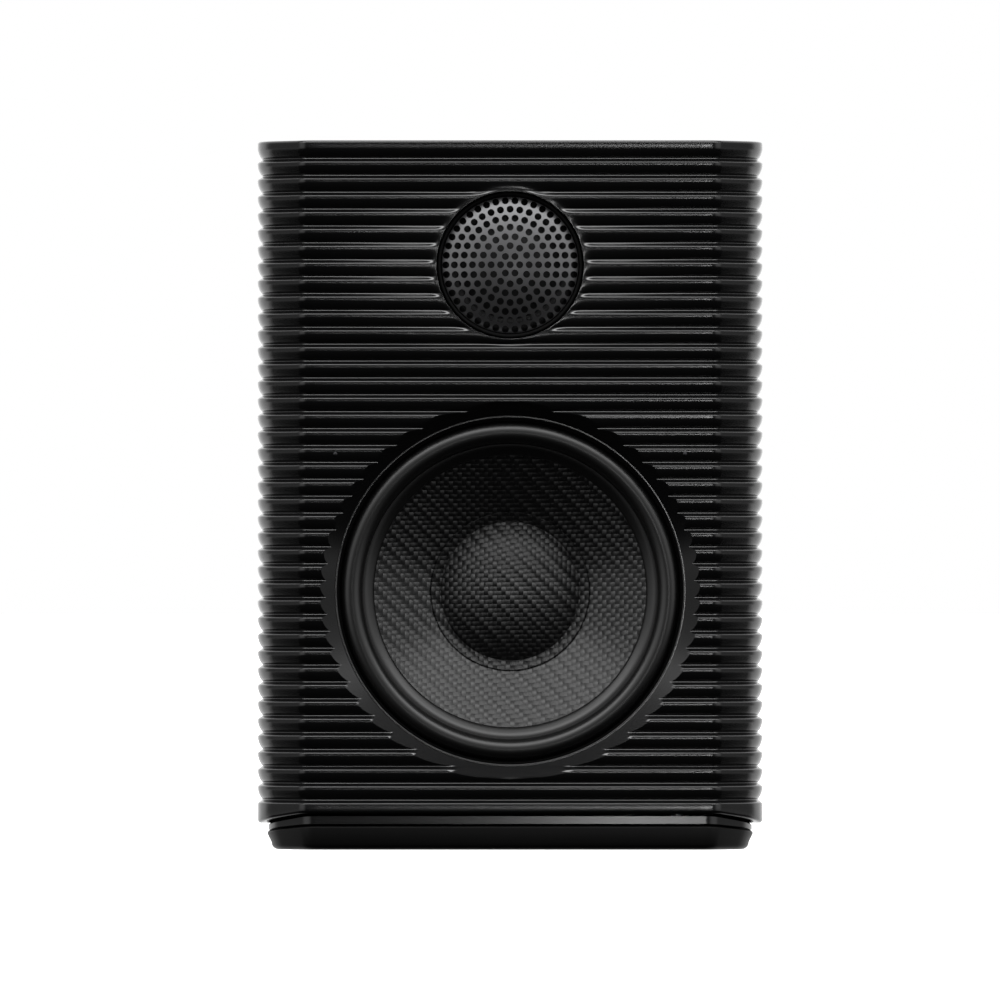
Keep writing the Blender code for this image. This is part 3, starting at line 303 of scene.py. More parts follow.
def stacked_piece(name, loops, finish, **more):
    """Skin through a stack of loops with the same number of points, with flat ends."""
    loops = np.asarray(loops, float)
    rows, columns = loops.shape[:2]
    faces = grid_faces(rows, columns, closed=True).tolist()
    faces.append(list(range(columns))[::-1])
    faces.append([(rows - 1) * columns + i for i in range(columns)])
    return make_piece(name, loops, faces, finish, **more)


# ---------------------------------------------------------------- material helpers
def add_node(tree, kind, settings=None, inputs=None):
    """Adds a node, sets its properties and fills its inputs with values or links."""
    node = tree.nodes.new(kind)
    for key, value in (settings or {}).items():
        setattr(node, key, value)
    for key, value in (inputs or {}).items():
        socket = node.inputs[key]
        if isinstance(value, bpy.types.NodeSocket):
            tree.links.new(value, socket)
        else:
            socket.default_value = value
    return node


def math(tree, operation, a, b=None, c=None):
    """One Math node; returns its output."""
    inputs = {0: a}
    if b is not None:
        inputs[1] = b
    if c is not None:
        inputs[2] = c
    return add_node(tree, "ShaderNodeMath", {"operation": operation}, inputs).outputs[0]


def new_group(name, inputs, outputs):
    """Empty shader group with named sockets; returns it with its input and output nodes."""
    kinds = {"value": "NodeSocketFloat", "colour": "NodeSocketColor", "vector": "NodeSocketVector"}
    group = bpy.data.node_groups.new(name, "ShaderNodeTree")
    for label, (kind, default) in inputs.items():
        socket = group.interface.new_socket(name=label, in_out="INPUT", socket_type=kinds[kind])
        socket.default_value = default
    for label, kind in outputs.items():
        group.interface.new_socket(name=label, in_out="OUTPUT", socket_type=kinds[kind])
    return group, group.nodes.new("NodeGroupInput").outputs, group.nodes.new("NodeGroupOutput").inputs


def object_coordinates(tree):
    """Each point's place in metres, measured on the piece itself."""
    return add_node(tree, "ShaderNodeTexCoord").outputs["Object"]


def blend_colours(tree, share, low, high):
    """Colour between low, at a share of 0, and high, at a share of 1."""
    inputs = {0: share, 6: low, 7: high}
    return add_node(tree, "ShaderNodeMix", {"data_type": "RGBA"}, inputs).outputs[2]


def noise(tree, where, scale, detail):
    """Smooth noise between 0 and 1."""
    inputs = {"Vector": where, "Scale": scale, "Detail": detail}
    return add_node(tree, "ShaderNodeTexNoise", None, inputs).outputs["Fac"]


def bump(tree, distance, height):
    """Normal tipped by a height between 0 and 1 that stands for a distance."""
    inputs = {"Strength": 1.0, "Distance": distance, "Height": height}
    return add_node(tree, "ShaderNodeBump", None, inputs).outputs["Normal"]


def scaled(tree, tint, level):
    """A colour times a level."""
    settings = {"operation": "SCALE"}
    return add_node(tree, "ShaderNodeVectorMath", settings, {0: tint, "Scale": level}).outputs[0]


def send(tree, result, values):
    """Links values to a group's outputs by name."""
    for key, value in values.items():
        tree.links.new(value, result[key])


def grain_group():
    """Fine grain shared by paints, plastics and rubber: mottled colour, uneven gloss, pitted height."""
    inputs = {
        "Colour": ("colour", (0.02, 0.02, 0.02, 1.0)),
        "Variation": ("value", 0.2),
        "Roughness": ("value", 0.4),
        "Gloss spread": ("value", 0.05),
        "Grain": ("value", 4000.0),
        "Height": ("value", 0.000004),
    }
    outputs = {"Colour": "colour", "Roughness": "value", "Normal": "vector"}
    group, given, result = new_group("surface grain", inputs, outputs)
    where = object_coordinates(group)
    fine = noise(group, where, given["Grain"], 2.0)
    broad = noise(group, where, 55.0, 3.0)
    centred = math(group, "SUBTRACT", broad, 0.5)
    level = math(group, "MULTIPLY_ADD", centred, given["Variation"], 1.0)
    mixed = math(group, "ADD", centred, math(group, "SUBTRACT", fine, 0.5))
    send(group, result, {
        "Colour": scaled(group, given["Colour"], level),
        "Roughness": math(group, "MULTIPLY_ADD", mixed, given["Gloss spread"], given["Roughness"]),
        "Normal": bump(group, given["Height"], fine),
    })
    return group


def weave_group():
    """Two-by-two twill seen along Y: square cells one tow wide, the upright tow on top where
    (column + row) modulo 4 is under 2. Each float is arched along its two cells and a little across
    them, with fine filaments along it. The upright tows are painted lighter as a painted sheen, and
    each tow is painted darker towards its edges as painted shade between tows."""
    inputs = {
        "Colour": ("colour", (0.02, 0.02, 0.02, 1.0)),
        "Tow": ("value", 0.0012),
        "Crown": ("value", 0.00012),
        "Roughness": ("value", 0.35),
    }
    outputs = {"Colour": "colour", "Roughness": "value", "Normal": "vector"}
    group, given, result = new_group("twill weave", inputs, outputs)
    split = add_node(group, "ShaderNodeSeparateXYZ", None, {0: object_coordinates(group)}).outputs
    x = math(group, "DIVIDE", split["X"], given["Tow"])
    z = math(group, "DIVIDE", split["Z"], given["Tow"])
    cell = math(group, "ADD", math(group, "FLOOR", x), math(group, "FLOOR", z))
    step = math(group, "FLOORED_MODULO", cell, 4.0)
    upright = math(group, "LESS_THAN", step, 2.0)

    def either(level, upright_value):
        inputs = {0: upright, 2: level, 3: upright_value}
        return add_node(group, "ShaderNodeMix", {"data_type": "FLOAT"}, inputs).outputs[0]

    def hump(position, half):
        offset = math(group, "SUBTRACT", math(group, "DIVIDE", position, half), 1.0)
        return math(group, "SUBTRACT", 1.0, math(group, "MULTIPLY", offset, offset))

    part_x, part_z = math(group, "FRACT", x), math(group, "FRACT", z)
    across = hump(either(part_z, part_x), 0.5)
    along_z = math(group, "ADD", step, part_z)
    along_x = math(group, "ADD", math(group, "SUBTRACT", step, 2.0), part_x)
    along = hump(either(along_x, along_z), 1.0)
    filaments = 7
    filament = math(group, "SINE", math(group, "MULTIPLY", either(z, x), 2 * pi * filaments))
    height = math(group, "MULTIPLY_ADD", filament, 0.025, along)
    height = math(group, "MULTIPLY_ADD", across, 0.28, height)
    # painted sheen: the upright tows' colour is raised above the others'; painted shade: each tow's
    # colour darkens towards its edges
    lift = math(group, "MULTIPLY_ADD", upright, 0.35, 0.75)
    tow_edge_painted_shade = math(group, "SMOOTH_MIN", math(group, "MULTIPLY", across, 3.0), 1.0, 0.2)
    send(group, result, {
        "Colour": scaled(group, given["Colour"], math(group, "MULTIPLY", lift, tow_edge_painted_shade)),
        "Roughness": math(group, "MULTIPLY_ADD", upright, 0.06, given["Roughness"]),
        "Normal": bump(group, given["Crown"], height),
    })
    return group


def ridges_group():
    """Even ridges along one axis, for windings, corrugations and turned metal."""
    inputs = {
        "Direction": ("vector", (0.0, 1.0, 0.0)),
        "Pitch": ("value", 0.0004),
        "Height": ("value", 0.00006),
    }
    group, given, result = new_group("ridges", inputs, {"Mask": "value", "Normal": "vector"})
    inputs = {0: object_coordinates(group), 1: given["Direction"]}
    along = add_node(group, "ShaderNodeVectorMath", {"operation": "DOT_PRODUCT"}, inputs)
    turn = math(group, "DIVIDE", along.outputs["Value"], given["Pitch"])
    turn = math(group, "MULTIPLY", turn, 2 * pi)
    wave = math(group, "MULTIPLY_ADD", math(group, "SINE", turn), 0.5, 0.5)
    send(group, result, {"Mask": wave, "Normal": bump(group, given["Height"], wave)})
    return group


def group_node(tree, which, inputs):
    """Node of a shared group, which is made the first time it is asked for."""
    makers = {"grain": grain_group, "weave": weave_group, "ridges": ridges_group}
    if which not in GROUPS:
        GROUPS[which] = makers[which]()
    return add_node(tree, "ShaderNodeGroup", {"node_tree": GROUPS[which]}, inputs).outputs


def start_finish(name, settings):
    """New material whose Principled shader has the given plain values."""
    finish = bpy.data.materials.new(name)
    finish.use_nodes = True
    tree = finish.node_tree
    shader = tree.nodes["Principled BSDF"]
    for key, value in settings.items():
        shader.inputs[key].default_value = value
    return finish, tree, shader.inputs


def textured(name, which, inputs, settings):
    """Material whose colour, roughness and normal come from a shared group."""
    finish, tree, shader = start_finish(name, settings)
    result = group_node(tree, which, inputs)
    send(tree, shader, {
        "Base Color": result["Colour"], "Roughness": result["Roughness"], "Normal": result["Normal"]
    })
    return finish


def grained(name, tint, roughness, grain=4000.0, height=0.000004, spread=0.06, variation=0.25,
            **settings):
    """Paint, plastic or rubber with a fine grain."""
    inputs = {
        "Colour": (*tint, 1.0), "Variation": variation, "Roughness": roughness,
        "Gloss spread": spread, "Grain": grain, "Height": height,
    }
    return textured(name, "grain", inputs, settings)


def woven(name, tint, tow, crown, roughness, **settings):
    """Cloth or carbon fibre with a visible twill."""
    inputs = {"Colour": (*tint, 1.0), "Tow": tow, "Crown": crown, "Roughness": roughness}
    return textured(name, "weave", inputs, settings)


def ridged(name, low, high, pitch, height, roughness, **settings):
    """Copper winding or turned metal: two tones following even ridges, the darker tone lying in the
    valleys as painted shade.
    """
    finish, tree, shader = start_finish(name, {"Roughness": roughness, **settings})
    result = group_node(tree, "ridges", {"Pitch": pitch, "Height": height})
    # painted shade: the colour goes from the low tone in the ridge valleys to the high tone on the
    # crests
    tone_with_painted_shade = blend_colours(tree, result["Mask"], (*low, 1.0), (*high, 1.0))
    send(tree, shader, {"Base Color": tone_with_painted_shade, "Normal": result["Normal"]})
    return finish


def finishes():
    """Every finish by name, made once."""
    if FINISHES:
        return FINISHES
    tint = colours()
    tow = sizes().tow
    dull = "Specular IOR Level"
    carbon_coat = {"Coat Weight": 0.35, "Coat Roughness": 0.22}
    cap_coat = {"Coat Weight": 0.08, "Coat Roughness": 0.25}
    copper = ((0.35, 0.13, 0.05), (0.72, 0.36, 0.18))
    nickel = ((0.62, 0.60, 0.57), (0.74, 0.72, 0.68))
    FINISHES.update(
        enamel=grained("satin enamel", tint.enamel, 0.20, 2500.0, 8e-8, 0.02),
        neck=grained("smooth enamel", tint.neck, 0.20, 2500.0, 3e-7, 0.02),
        pad=grained("pad rubber", tint.rubber, 0.45, 3000.0, 3e-6, 0.08, **{dull: 0.16}),
        surround=grained(
            "surround rubber", tint.surround, 0.34, 3000.0, 3e-7, 0.03, **{dull: 0.6}
        ),
        carbon=woven("carbon twill", tint.carbon, tow, tow * 0.30, 0.30, **carbon_coat),
        cap=woven("cap twill", tint.carbon, tow, tow * 0.30, 0.34, **cap_coat),
        grille=grained("grille metal", tint.grille, 0.38, 6000.0, 2e-6, 0.06, Metallic=0.9),
        silk=woven("tweeter silk", tint.silk, 0.00025, 0.00002, 0.55),
        plastic=grained("black plastic", (0.012, 0.012, 0.0125), 0.42, 5000.0, 6e-6),
        knob=grained("knob finish", (0.014, 0.014, 0.0145), 0.36, 5000.0, 3e-6, Metallic=0.3),
        gloss=grained("gloss plastic", (0.010, 0.010, 0.010), 0.22, 3000.0, 1e-6),
        blacked=grained("blackened steel", (0.035, 0.035, 0.037), 0.34, 6000.0, 3e-6, Metallic=0.9),
        zinc=grained("zinc steel", (0.47, 0.48, 0.50), 0.33, 3000.0, 4e-6, 0.12, 0.35, Metallic=1.0),
        ferrite=grained("ferrite", (0.045, 0.045, 0.048), 0.75, 1800.0, 3e-5, 0.1, 0.5),
        copper=ridged("copper winding", *copper, 0.0004, 0.0001, 0.3, Metallic=1.0),
        film=grained("former film", (0.45, 0.22, 0.05), 0.35, 900.0, 4e-6, 0.1),
        cloth=woven("spider cloth", (0.50, 0.36, 0.16), 0.0006, 0.00005, 0.85),
        moulding=grained("matt moulding", (0.001,) * 3, 0.7, 3000.0, 1e-5, 0.05, **{dull: 0.12}),
        foam=grained("gasket foam", (0.0008,) * 3, 0.9, 2600.0, 6e-5, 0.05, **{dull: 0.1}),
        nickel=ridged("turned nickel", *nickel, 0.00035, 0.00001, 0.22, Metallic=1.0),
        red=grained("red plastic", (0.50, 0.015, 0.015), 0.35, 3000.0, 3e-6),
        white=grained("white plastic", (0.75, 0.75, 0.72), 0.35, 3000.0, 3e-6, variation=0.08),
        board=grained("board laminate", (0.015, 0.10, 0.045), 0.4, 700.0, 1e-5, 0.12, 0.7),
        sleeve=grained("capacitor sleeve", (0.02, 0.022, 0.05), 0.3, 3000.0, 2e-6),
        panel=grained("panel enamel", (0.010, 0.010, 0.0105), 0.40, 4200.0, 1e-5, 0.05),
    )
    return FINISHES


# ---------------------------------------------------------------- the cabinet's skin
def groove_depth(z):
    """Depth of the ribbed skin at a height: from a groove up, a flank out to the crest that is three
    tenths straight and seven tenths an ellipse's arc, a flat crest, then a short S-shaped shoulder
    back in. Below the lowest groove's shoulder and above the top groove's flank the skin is flat."""
    size = sizes()
    top_groove = TOP - size.top_groove
    lowest = top_groove - (GROOVES - 1) * size.rib_pitch
    above_top = z >= top_groove - 1e-9
    phase = np.where(above_top, z - top_groove, np.mod(z - top_groove, size.rib_pitch))
    flank = np.clip((size.rib_flank - phase) / size.rib_flank, 0, 1)
    flank = np.where(z < lowest - 1e-9, 0.0, flank)
    crest_end = size.rib_pitch - size.rib_shoulder
    shoulder = np.clip((phase - crest_end) / size.rib_shoulder, 0, 1)
    shoulder = np.where(above_top | (z < lowest - size.rib_shoulder), 0.0, shoulder)
    bow = (1 - np.sqrt(1 - (FLANK_BOW * flank) ** 2)) / (1 - sqrt(1 - FLANK_BOW**2))
    return size.rib_depth * (0.3 * flank + 0.7 * bow + shoulder**2 * (3 - 2 * shoulder))


def rib_heights():
    """Heights of the rows of one rib above its groove, close together where the skin turns fast."""
    size = sizes()
    flank = size.rib_flank * (1 - np.cos(np.radians([0, 15, 32, 50, 68, 82, 90])))
    shoulder = size.rib_pitch - size.rib_shoulder + size.rib_shoulder * SHOULDER_ROWS
    return np.concatenate([flank, [size.rib_flank + 0.0001], shoulder])


def skin_rows():
    """Heights of all rows from above the bottom edge to below the top edge, with extra rows where
    the round openings begin and end."""
    size = sizes()
    top_groove = TOP - size.top_groove
    grooves = top_groove - size.rib_pitch * np.arange(GROOVES)
    rows = (grooves[:, None] + rib_heights()[None, :]).ravel()
    rows = rows[rows < top_groove + size.rib_flank * 1.001]
    under = grooves[-1] - size.rib_shoulder + size.rib_shoulder * SHOULDER_ROWS
    steps = np.cos(np.radians([0, 4, 8, 12, 16]))
    extra = [under, [TOP - size.top_round]]
    for centre, radius in opening_circles():
        extra.append(centre + radius * steps)
        extra.append(centre - radius * steps)
    for edge in rear_opening()[2:]:
        extra.append([edge])
    rows = np.unique(np.round(np.concatenate([rows, *extra]), 8))
    keep = np.concatenate([[True], np.diff(rows) > 4e-6])
    return rows[keep]


def opening_circles():
    """(height, radius) of the woofer's throat, its countersink and the tweeter's hole."""
    size = sizes()
    return [(WOOFER_Z, size.throat_radius), (WOOFER_Z, size.sink_radius), (TWEETER_Z, TWEETER_HOLE)]


def rear_opening():
    """Half width, depth and bottom and top of the opening that holds the rear panel."""
    low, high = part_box("rear_panel")
    return high.x + GAP, low.y - GAP, low.z - GAP, high.z + GAP


def dish(x, z, groove):
    """Depth round the tweeter. rho is the radius in an oval: the dish adds its full depth times
    (1 - rho^2)^1.5, the grooves lose part of theirs in the same way, and they run out to nothing
    over the last stretch before the tweeter's hole."""
    size = sizes()
    rho2 = (x / size.dish_width) ** 2 + ((z - TWEETER_Z) / size.dish_height) ** 2
    inside = np.clip(1 - rho2, 0, 1)
    reach = (np.hypot(x, z - TWEETER_Z) - TWEETER_HOLE - GAP) / size.groove_end
    tip = 1 - np.clip(1 - reach, 0, 1) ** 2
    lost = 0.55
    return size.dish_depth * inside**1.5 + groove * (1 - lost * inside) * tip


def half_plan(inset, least_round=0.0):
    """Columns of the half outline from the end of the front flat round to the rear flat, for rows
    with the given insets: fillet, 45 degree chamfer, arc, side, and the same at the rear."""
    size = sizes()
    inset = np.asarray(inset)[:, None]
    fillet = np.radians(np.linspace(0, 45, 6))[None, :]
    small = np.maximum(size.front_round - inset, least_round)
    shift = (size.front_round - inset - small) * tan(pi / 8)
    fillet_x = size.front_flat + shift + small * np.sin(fillet)
    fillet_d = inset + small * (1 - np.cos(fillet))
    large = size.corner_round
    crease = size.front_flat + size.front_round * sin(pi / 4)
    crease_d = size.front_round * (1 - cos(pi / 4))
    arc_x = HALF_WIDTH - large
    chamfer_run = arc_x + large * cos(pi / 4) - crease
    arc_d = crease_d + chamfer_run + large * sin(pi / 4)
    turn = np.radians(np.linspace(45, 0, 9))[None, :]
    corner_x = arc_x + (large - inset) * np.cos(turn)
    corner_d = arc_d - (large - inset) * np.sin(turn)
    front_x = np.concatenate([fillet_x, corner_x], axis=1)
    front_d = np.concatenate([fillet_d, corner_d], axis=1)
    x = np.concatenate([front_x, front_x[:, ::-1]], axis=1)
    y = np.concatenate([FRONT + front_d, BACK - front_d[:, ::-1]], axis=1)
    return x, y


def front_columns(rows, depth):
    """Half front: from the wall of an opening out over the countersink to the end of the flat, and
    a mark for the rows that cross a round opening."""
    size = sizes()
    flat_columns, sink_columns = 26, 7
    crowding = 1.6  # brings the columns closer together near the openings
    off = np.abs(rows - WOOFER_Z)
    high = np.abs(rows - TWEETER_Z)
    throat = np.sqrt(np.clip(size.throat_radius**2 - off**2, 0, None))
    tweeter = np.sqrt(np.clip(TWEETER_HOLE**2 - high**2, 0, None))
    edge = throat + tweeter
    rim = size.sink_radius - SINK_SLOPE * depth
    sink = np.maximum(np.sqrt(np.clip(rim**2 - off**2, 0, None)), edge)
    share = np.linspace(0, 1, sink_columns)[None, :]
    sink_x = edge[:, None] + (sink - edge)[:, None] * share
    share = (np.linspace(0, 1, flat_columns) ** crowding)[None, 1:]
    flat_x = sink[:, None] + (size.front_flat - sink)[:, None] * share
    x = np.concatenate([sink_x, flat_x], axis=1)
    z = np.broadcast_to(rows[:, None], x.shape)
    skin = dish(x, z, np.broadcast_to(depth[:, None], x.shape))
    radius = np.sqrt(x**2 + (z - WOOFER_Z) ** 2)
    cone = (size.sink_radius - radius) / SINK_SLOPE
    inside = np.arange(x.shape[1])[None, :] < sink_columns
    crossing = (sink > edge)[:, None]
    y = np.where(inside & crossing, np.maximum(cone, skin), skin)
    crosses = (off <= size.throat_radius + 1e-7) | (high <= TWEETER_HOLE + 1e-7)
    return x, FRONT + y, crosses


def underside(y):
    """Height of the cabinet's bottom edge: level, rising over the first stretch at the front."""
    return UNDERSIDE_LOW + UNDERSIDE_RISE * np.clip(1 - (y - FRONT) / NOSE, 0, 1)


def cabinet_points():
    """Grid of the right half of the skin, rows from the bottom up, and the marks of the rows that
    cross a round opening."""
    rows = skin_rows()
    depth = groove_depth(rows)
    front_x, front_y, crosses = front_columns(rows, depth)
    side_x, side_y = half_plan(depth)
    rear_half = rear_opening()[0]
    rear_x = np.array([[rear_half, rear_half * 0.5, 0.0]]) + 0 * depth[:, None]
    rear_y = (BACK - depth)[:, None] + 0 * rear_x
    x = np.concatenate([front_x, side_x[:, 1:], rear_x], axis=1)
    y = np.concatenate([front_y, side_y[:, 1:], rear_y], axis=1)
    z = np.broadcast_to(rows[:, None], x.shape)
    return np.stack([x, y, z], axis=2), crosses


def edge_rows(row, heights, insets):
    """Rows that carry a skin row up or down with growing inset, moving each point towards the
    middle along both axes."""
    out = []
    x, y = row[:, 0], row[:, 1]
    half_depth, mid = (BACK - FRONT) / 2, (BACK + FRONT) / 2
    for height, inset in zip(heights, insets):
        new_x = x * (1 - inset / HALF_WIDTH)
        new_y = mid + (y - mid) * (1 - inset / half_depth)
        out.append(np.stack([new_x, new_y, height + 0 * x], axis=1))
    return out


def make_cabinet():
    """Ribbed casting: a grid of rows by height and columns round the outline. Every row ends at
    the round openings it crosses, so the countersink's toothed rim follows the grooves exactly."""
    size = sizes()
    half, crosses = cabinet_points()
    turn = np.radians([18, 36, 54, 72, 90])
    top_heights = (TOP - size.top_round) + size.top_round * np.sin(turn)
    top_rows = edge_rows(half[-1], top_heights, size.top_round * (1 - np.cos(turn)))
    bottom = half[0]
    low = underside(bottom[:, 1])
    bottom_rows = [np.stack([bottom[:, 0], bottom[:, 1], low + BOTTOM_ROUND], axis=1)]
    bottom_heights = [low + BOTTOM_ROUND * (1 - sin(a)) for a in turn]
    bottom_rows += edge_rows(bottom, bottom_heights, BOTTOM_ROUND * (1 - np.cos(turn)))
    bottom_rows += edge_rows(bottom, [low], [BOTTOM_LIP])
    grid = np.concatenate([np.array(bottom_rows)[::-1], half, np.array(top_rows)])
    columns = grid.shape[1]
    faces = grid_faces(len(grid), columns)
    row, column = faces[:, 0] // columns, faces[:, 0] % columns
    _, rear_y, rear_low, rear_high = rear_opening()
    z = grid[:, 0, 2]
    in_rear = (z[row] >= rear_low - 1e-6) & (z[row + 1] <= rear_high + 1e-6)
    faces = faces[~(in_rear & (column >= columns - 3))]
    count = len(grid) * columns
    left = faces[:, ::-1] + count
    all_faces = [*faces.tolist(), *left.tolist()]
    lowest_row = np.arange(columns)
    top_row = lowest_row + count - columns
    all_faces.append([*top_row.tolist(), *(top_row + count)[::-1].tolist()])
    all_faces.append([*(lowest_row + count).tolist(), *lowest_row[::-1].tolist()])
    walls, wall_faces = opening_walls(half, crosses, rear_y, rear_low, rear_high)
    all_faces += (wall_faces + 2 * count).tolist()
    mirror = grid * np.array([-1, 1, 1])
    points = np.concatenate([grid.reshape(-1, 3), mirror.reshape(-1, 3), walls])
    return make_piece(
        "cabinet_skin", points, all_faces, finishes()["enamel"], stands_for=["cabinet"], out=1
    )


def opening_walls(half, crosses, rear_y, rear_low, rear_high):
    """Walls behind the edges of the round openings and of the rear opening, both halves."""
    points, faces = [], []
    z = half[:, 0, 2]
    in_rear = (z >= rear_low - 1e-6) & (z <= rear_high + 1e-6)

    def add_wall(side, rim, back, reverse, mask=None):
        deep = rim.copy()
        deep[:, 1] = back
        quads = grid_faces(len(rim), 2)
        if mask is not None:
            row = quads[:, 0] // 2
            quads = quads[mask[row] & mask[row + 1]]
        start = sum(len(p) for p in points)
        strip = np.stack([deep, rim], axis=1) * np.array([side, 1, 1])
        points.append(strip.reshape(-1, 3))
        faces.append((quads[:, ::-1] if reverse else quads) + start)

    for side in (1, -1):
        add_wall(side, half[:, 0], FRONT + WALL_BACK, side < 0, crosses)
        add_wall(side, half[:, -3], rear_y, side > 0, in_rear)
        for height, reverse in ((rear_low, side > 0), (rear_high, side < 0)):
            nearest = int(np.argmin(np.abs(z - height)))
            add_wall(side, half[nearest, -3:], rear_y, reverse)
    return np.concatenate(points), np.concatenate(faces)


# ---------------------------------------------------------------- base
def plan_loop(inset):
    """Whole outline of the cabinet at one inset, as (x, y) points in order."""
    x, y = half_plan(np.array([inset]), BASE_ROUND)
    right = np.stack([x[0], y[0]], axis=1)
    left = right[::-1] * np.array([-1, 1])
    return np.concatenate([right, left])


def layer(levels, nose_rise):
    """Loops of a layer of the base: (height, inset) levels whose heights rise at the front; a third
    number of 0 keeps a level flat."""
    loops = []
    for height, inset, *flat in levels:
        lift = flat[0] if flat else 1.0
        loop = plan_loop(inset)
        rise = lift * nose_rise * np.clip(1 - (loop[:, 1] - FRONT) / NOSE, 0, 1)
        loops.append(np.stack([loop[:, 0], loop[:, 1], height + rise], axis=1))
    return loops


def make_neck():
    """Neck plate under the cabinet: the cabinet's outline drawn in, with its front edge raised."""
    low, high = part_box("base_plate")
    inset = HALF_WIDTH - high.x
    top, bottom = UNDERSIDE_LOW - GAP, low.z + 0.0001
    bevel = 0.0002
    top_rise = UNDERSIDE_RISE * 1.15  # a little more than the casting's own edge
    lower = [(bottom, BASE_REACH), (bottom, inset + bevel), (bottom + bevel, inset)]
    upper = [(top - bevel, inset), (top, inset + bevel), (top, BASE_REACH)]
    loops = layer(lower, PAD_RISE) + layer(upper, top_rise)
    stacked_piece("neck_plate", loops, finishes()["neck"], stands_for=["base_plate"])


def make_foot_pad():
    """Foot pad: level sole with a rounded edge, drafted side and a rounded lip raised at the front."""
    lip = HALF_WIDTH - PAD_HIGH.x
    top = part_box("base_plate")[0].z - 0.0002  # just clear of the neck plate
    draft, round_off = 0.0010, 0.0017
    foot = lip + draft
    turn = np.radians(np.linspace(0, 90, 6))
    sole = [(round_off * (1 - cos(a)), foot + round_off * (1 - sin(a)), 0.0) for a in turn]
    levels = [
        (0.0, foot + BASE_REACH, 0.0),
        *sole,
        (top - 0.0005, lip),
        (top - 0.0003, lip + 0.00006),
        (top - 0.0001, lip + 0.00021),
        (top, lip + 0.0005),
        (top, lip + BASE_REACH),
    ]
    loops = layer(levels, PAD_RISE)
    stacked_piece("foot_pad", loops, finishes()["pad"], stands_for=["base_pad"])


# ---------------------------------------------------------------- tweeter
def grille_plan():
    """Hole centres: one in the middle, then rings of 6, 12, 18 ... at even spacing over the dome."""
    size = sizes()
    centres = [np.zeros((1, 2))]
    for ring in range(1, 8):
        radius = GRILLE_SPHERE * sin(ring * size.hole_spacing / GRILLE_SPHERE)
        a = np.arange(6 * ring) * 2 * pi / (6 * ring)
        centres.append(radius * np.stack([np.cos(a), np.sin(a)], axis=1))
    return np.concatenate(centres)


def make_grille():
    """Domed perforated sheet: the flat plan of holes is triangulated, then each point is carried
    on to a sphere; the same sheet a thickness behind it is the back, with walls in every hole."""
    size = sizes()
    radius = radius_of("tweeter_grille")
    centres = grille_plan()
    sides = 16
    a = np.arange(sides) * 2 * pi / sides
    circle = size.hole_radius * np.stack([np.cos(a), np.sin(a)], axis=1)
    holes = (centres[:, None, :] + circle[None, :, :]).reshape(-1, 2)
    rim_sides = 120
    b = np.arange(rim_sides) * 2 * pi / rim_sides
    rim = radius * np.stack([np.cos(b), np.sin(b)], axis=1)
    flat = np.concatenate([holes, rim])
    starts = np.arange(len(centres)) * sides
    loops = starts[:, None] + np.arange(sides)[None, :]
    loop_edges = np.stack([loops, np.roll(loops, -1, axis=1)], axis=2).reshape(-1, 2)
    rim_index = len(holes) + np.arange(rim_sides)
    rim_edges = np.stack([rim_index, np.roll(rim_index, -1)], axis=1)
    edges = np.concatenate([loop_edges, rim_edges])
    made = delaunay_2d_cdt([Vector(p) for p in flat], edges.tolist(), [], 0, 1e-9)
    if len(made[0]) != len(flat):
        raise RuntimeError("the grille's holes touch each other")
    triangles = np.array(made[2])
    centre = flat[triangles].mean(axis=1)
    nearest = np.sqrt(((centre[:, None, :] - centres[None, :, :]) ** 2).sum(axis=2)).min(axis=1)
    triangles = triangles[nearest > size.hole_radius]
    sag = GRILLE_SPHERE - np.sqrt(GRILLE_SPHERE**2 - (flat**2).sum(axis=1))
    front = np.stack([flat[:, 0], GRILLE_APEX + sag, TWEETER_Z + flat[:, 1]], axis=1)
    back = front + np.array([0, GRILLE_THICKNESS, 0])
    count = len(front)
    walls = np.stack([edges[:, 0], edges[:, 1], edges[:, 1] + count, edges[:, 0] + count], axis=1)
    faces = [*triangles.tolist(), *(triangles[:, ::-1] + count).tolist(), *walls.tolist()]
    return make_piece(
        "tweeter_grille_sheet", np.concatenate([front, back]), faces, finishes()["grille"],
        stands_for=["tweeter_grille"], sharp=50.0,
    )


def sphere_cap(radius, height, apex, steps):
    """(r, depth) points from the apex to the rim of a spherical cap."""
    ball = (radius**2 + height**2) / (2 * height)
    reach = atan2(radius, ball - height)
    a = np.linspace(0, reach, steps + 1)
    return np.stack([ball * np.sin(a), apex + ball * (1 - np.cos(a))], axis=1)


def front_centre(z):
    """Point on the front plane's middle line."""
    return (0.0, FRONT, z)


def make_tweeter_ring():
    """Moulded ring round the grille, with its flange and the bore behind the dome."""
    look = finishes()
    low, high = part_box("tweeter_housing")
    housing_rear = high.y - FRONT
    ring_front = low.y - FRONT + 0.0004
    flange = high.x
    ring = TWEETER_HOLE - GAP
    seat = radius_of("tweeter_grille") + GAP
    sag = GRILLE_SPHERE - sqrt(GRILLE_SPHERE**2 - (seat - GAP) ** 2)
    seat_depth = GRILLE_APEX + sag + GRILLE_THICKNESS - FRONT + GAP
    inner, flange_front, coil_gap = seat - 0.0008, 0.0053, 0.0133
    plate = housing_rear - 0.0024
    outline = [
        (ring, ring_front), (ring, flange_front), (flange, flange_front), (flange, housing_rear),
        (coil_gap, housing_rear), (coil_gap, plate), (inner, plate), (inner, seat_depth),
        (seat, seat_depth), (seat, ring_front),
    ]
    outline = rounded(outline, [0.0003, 0, 0, 0, 0, 0, 0, 0, 0.0001, 0.0003])
    turned_piece(
        "tweeter_housing_ring", outline, front_centre(TWEETER_Z), look["moulding"], steps=128,
        stands_for=["tweeter_housing"],
    )


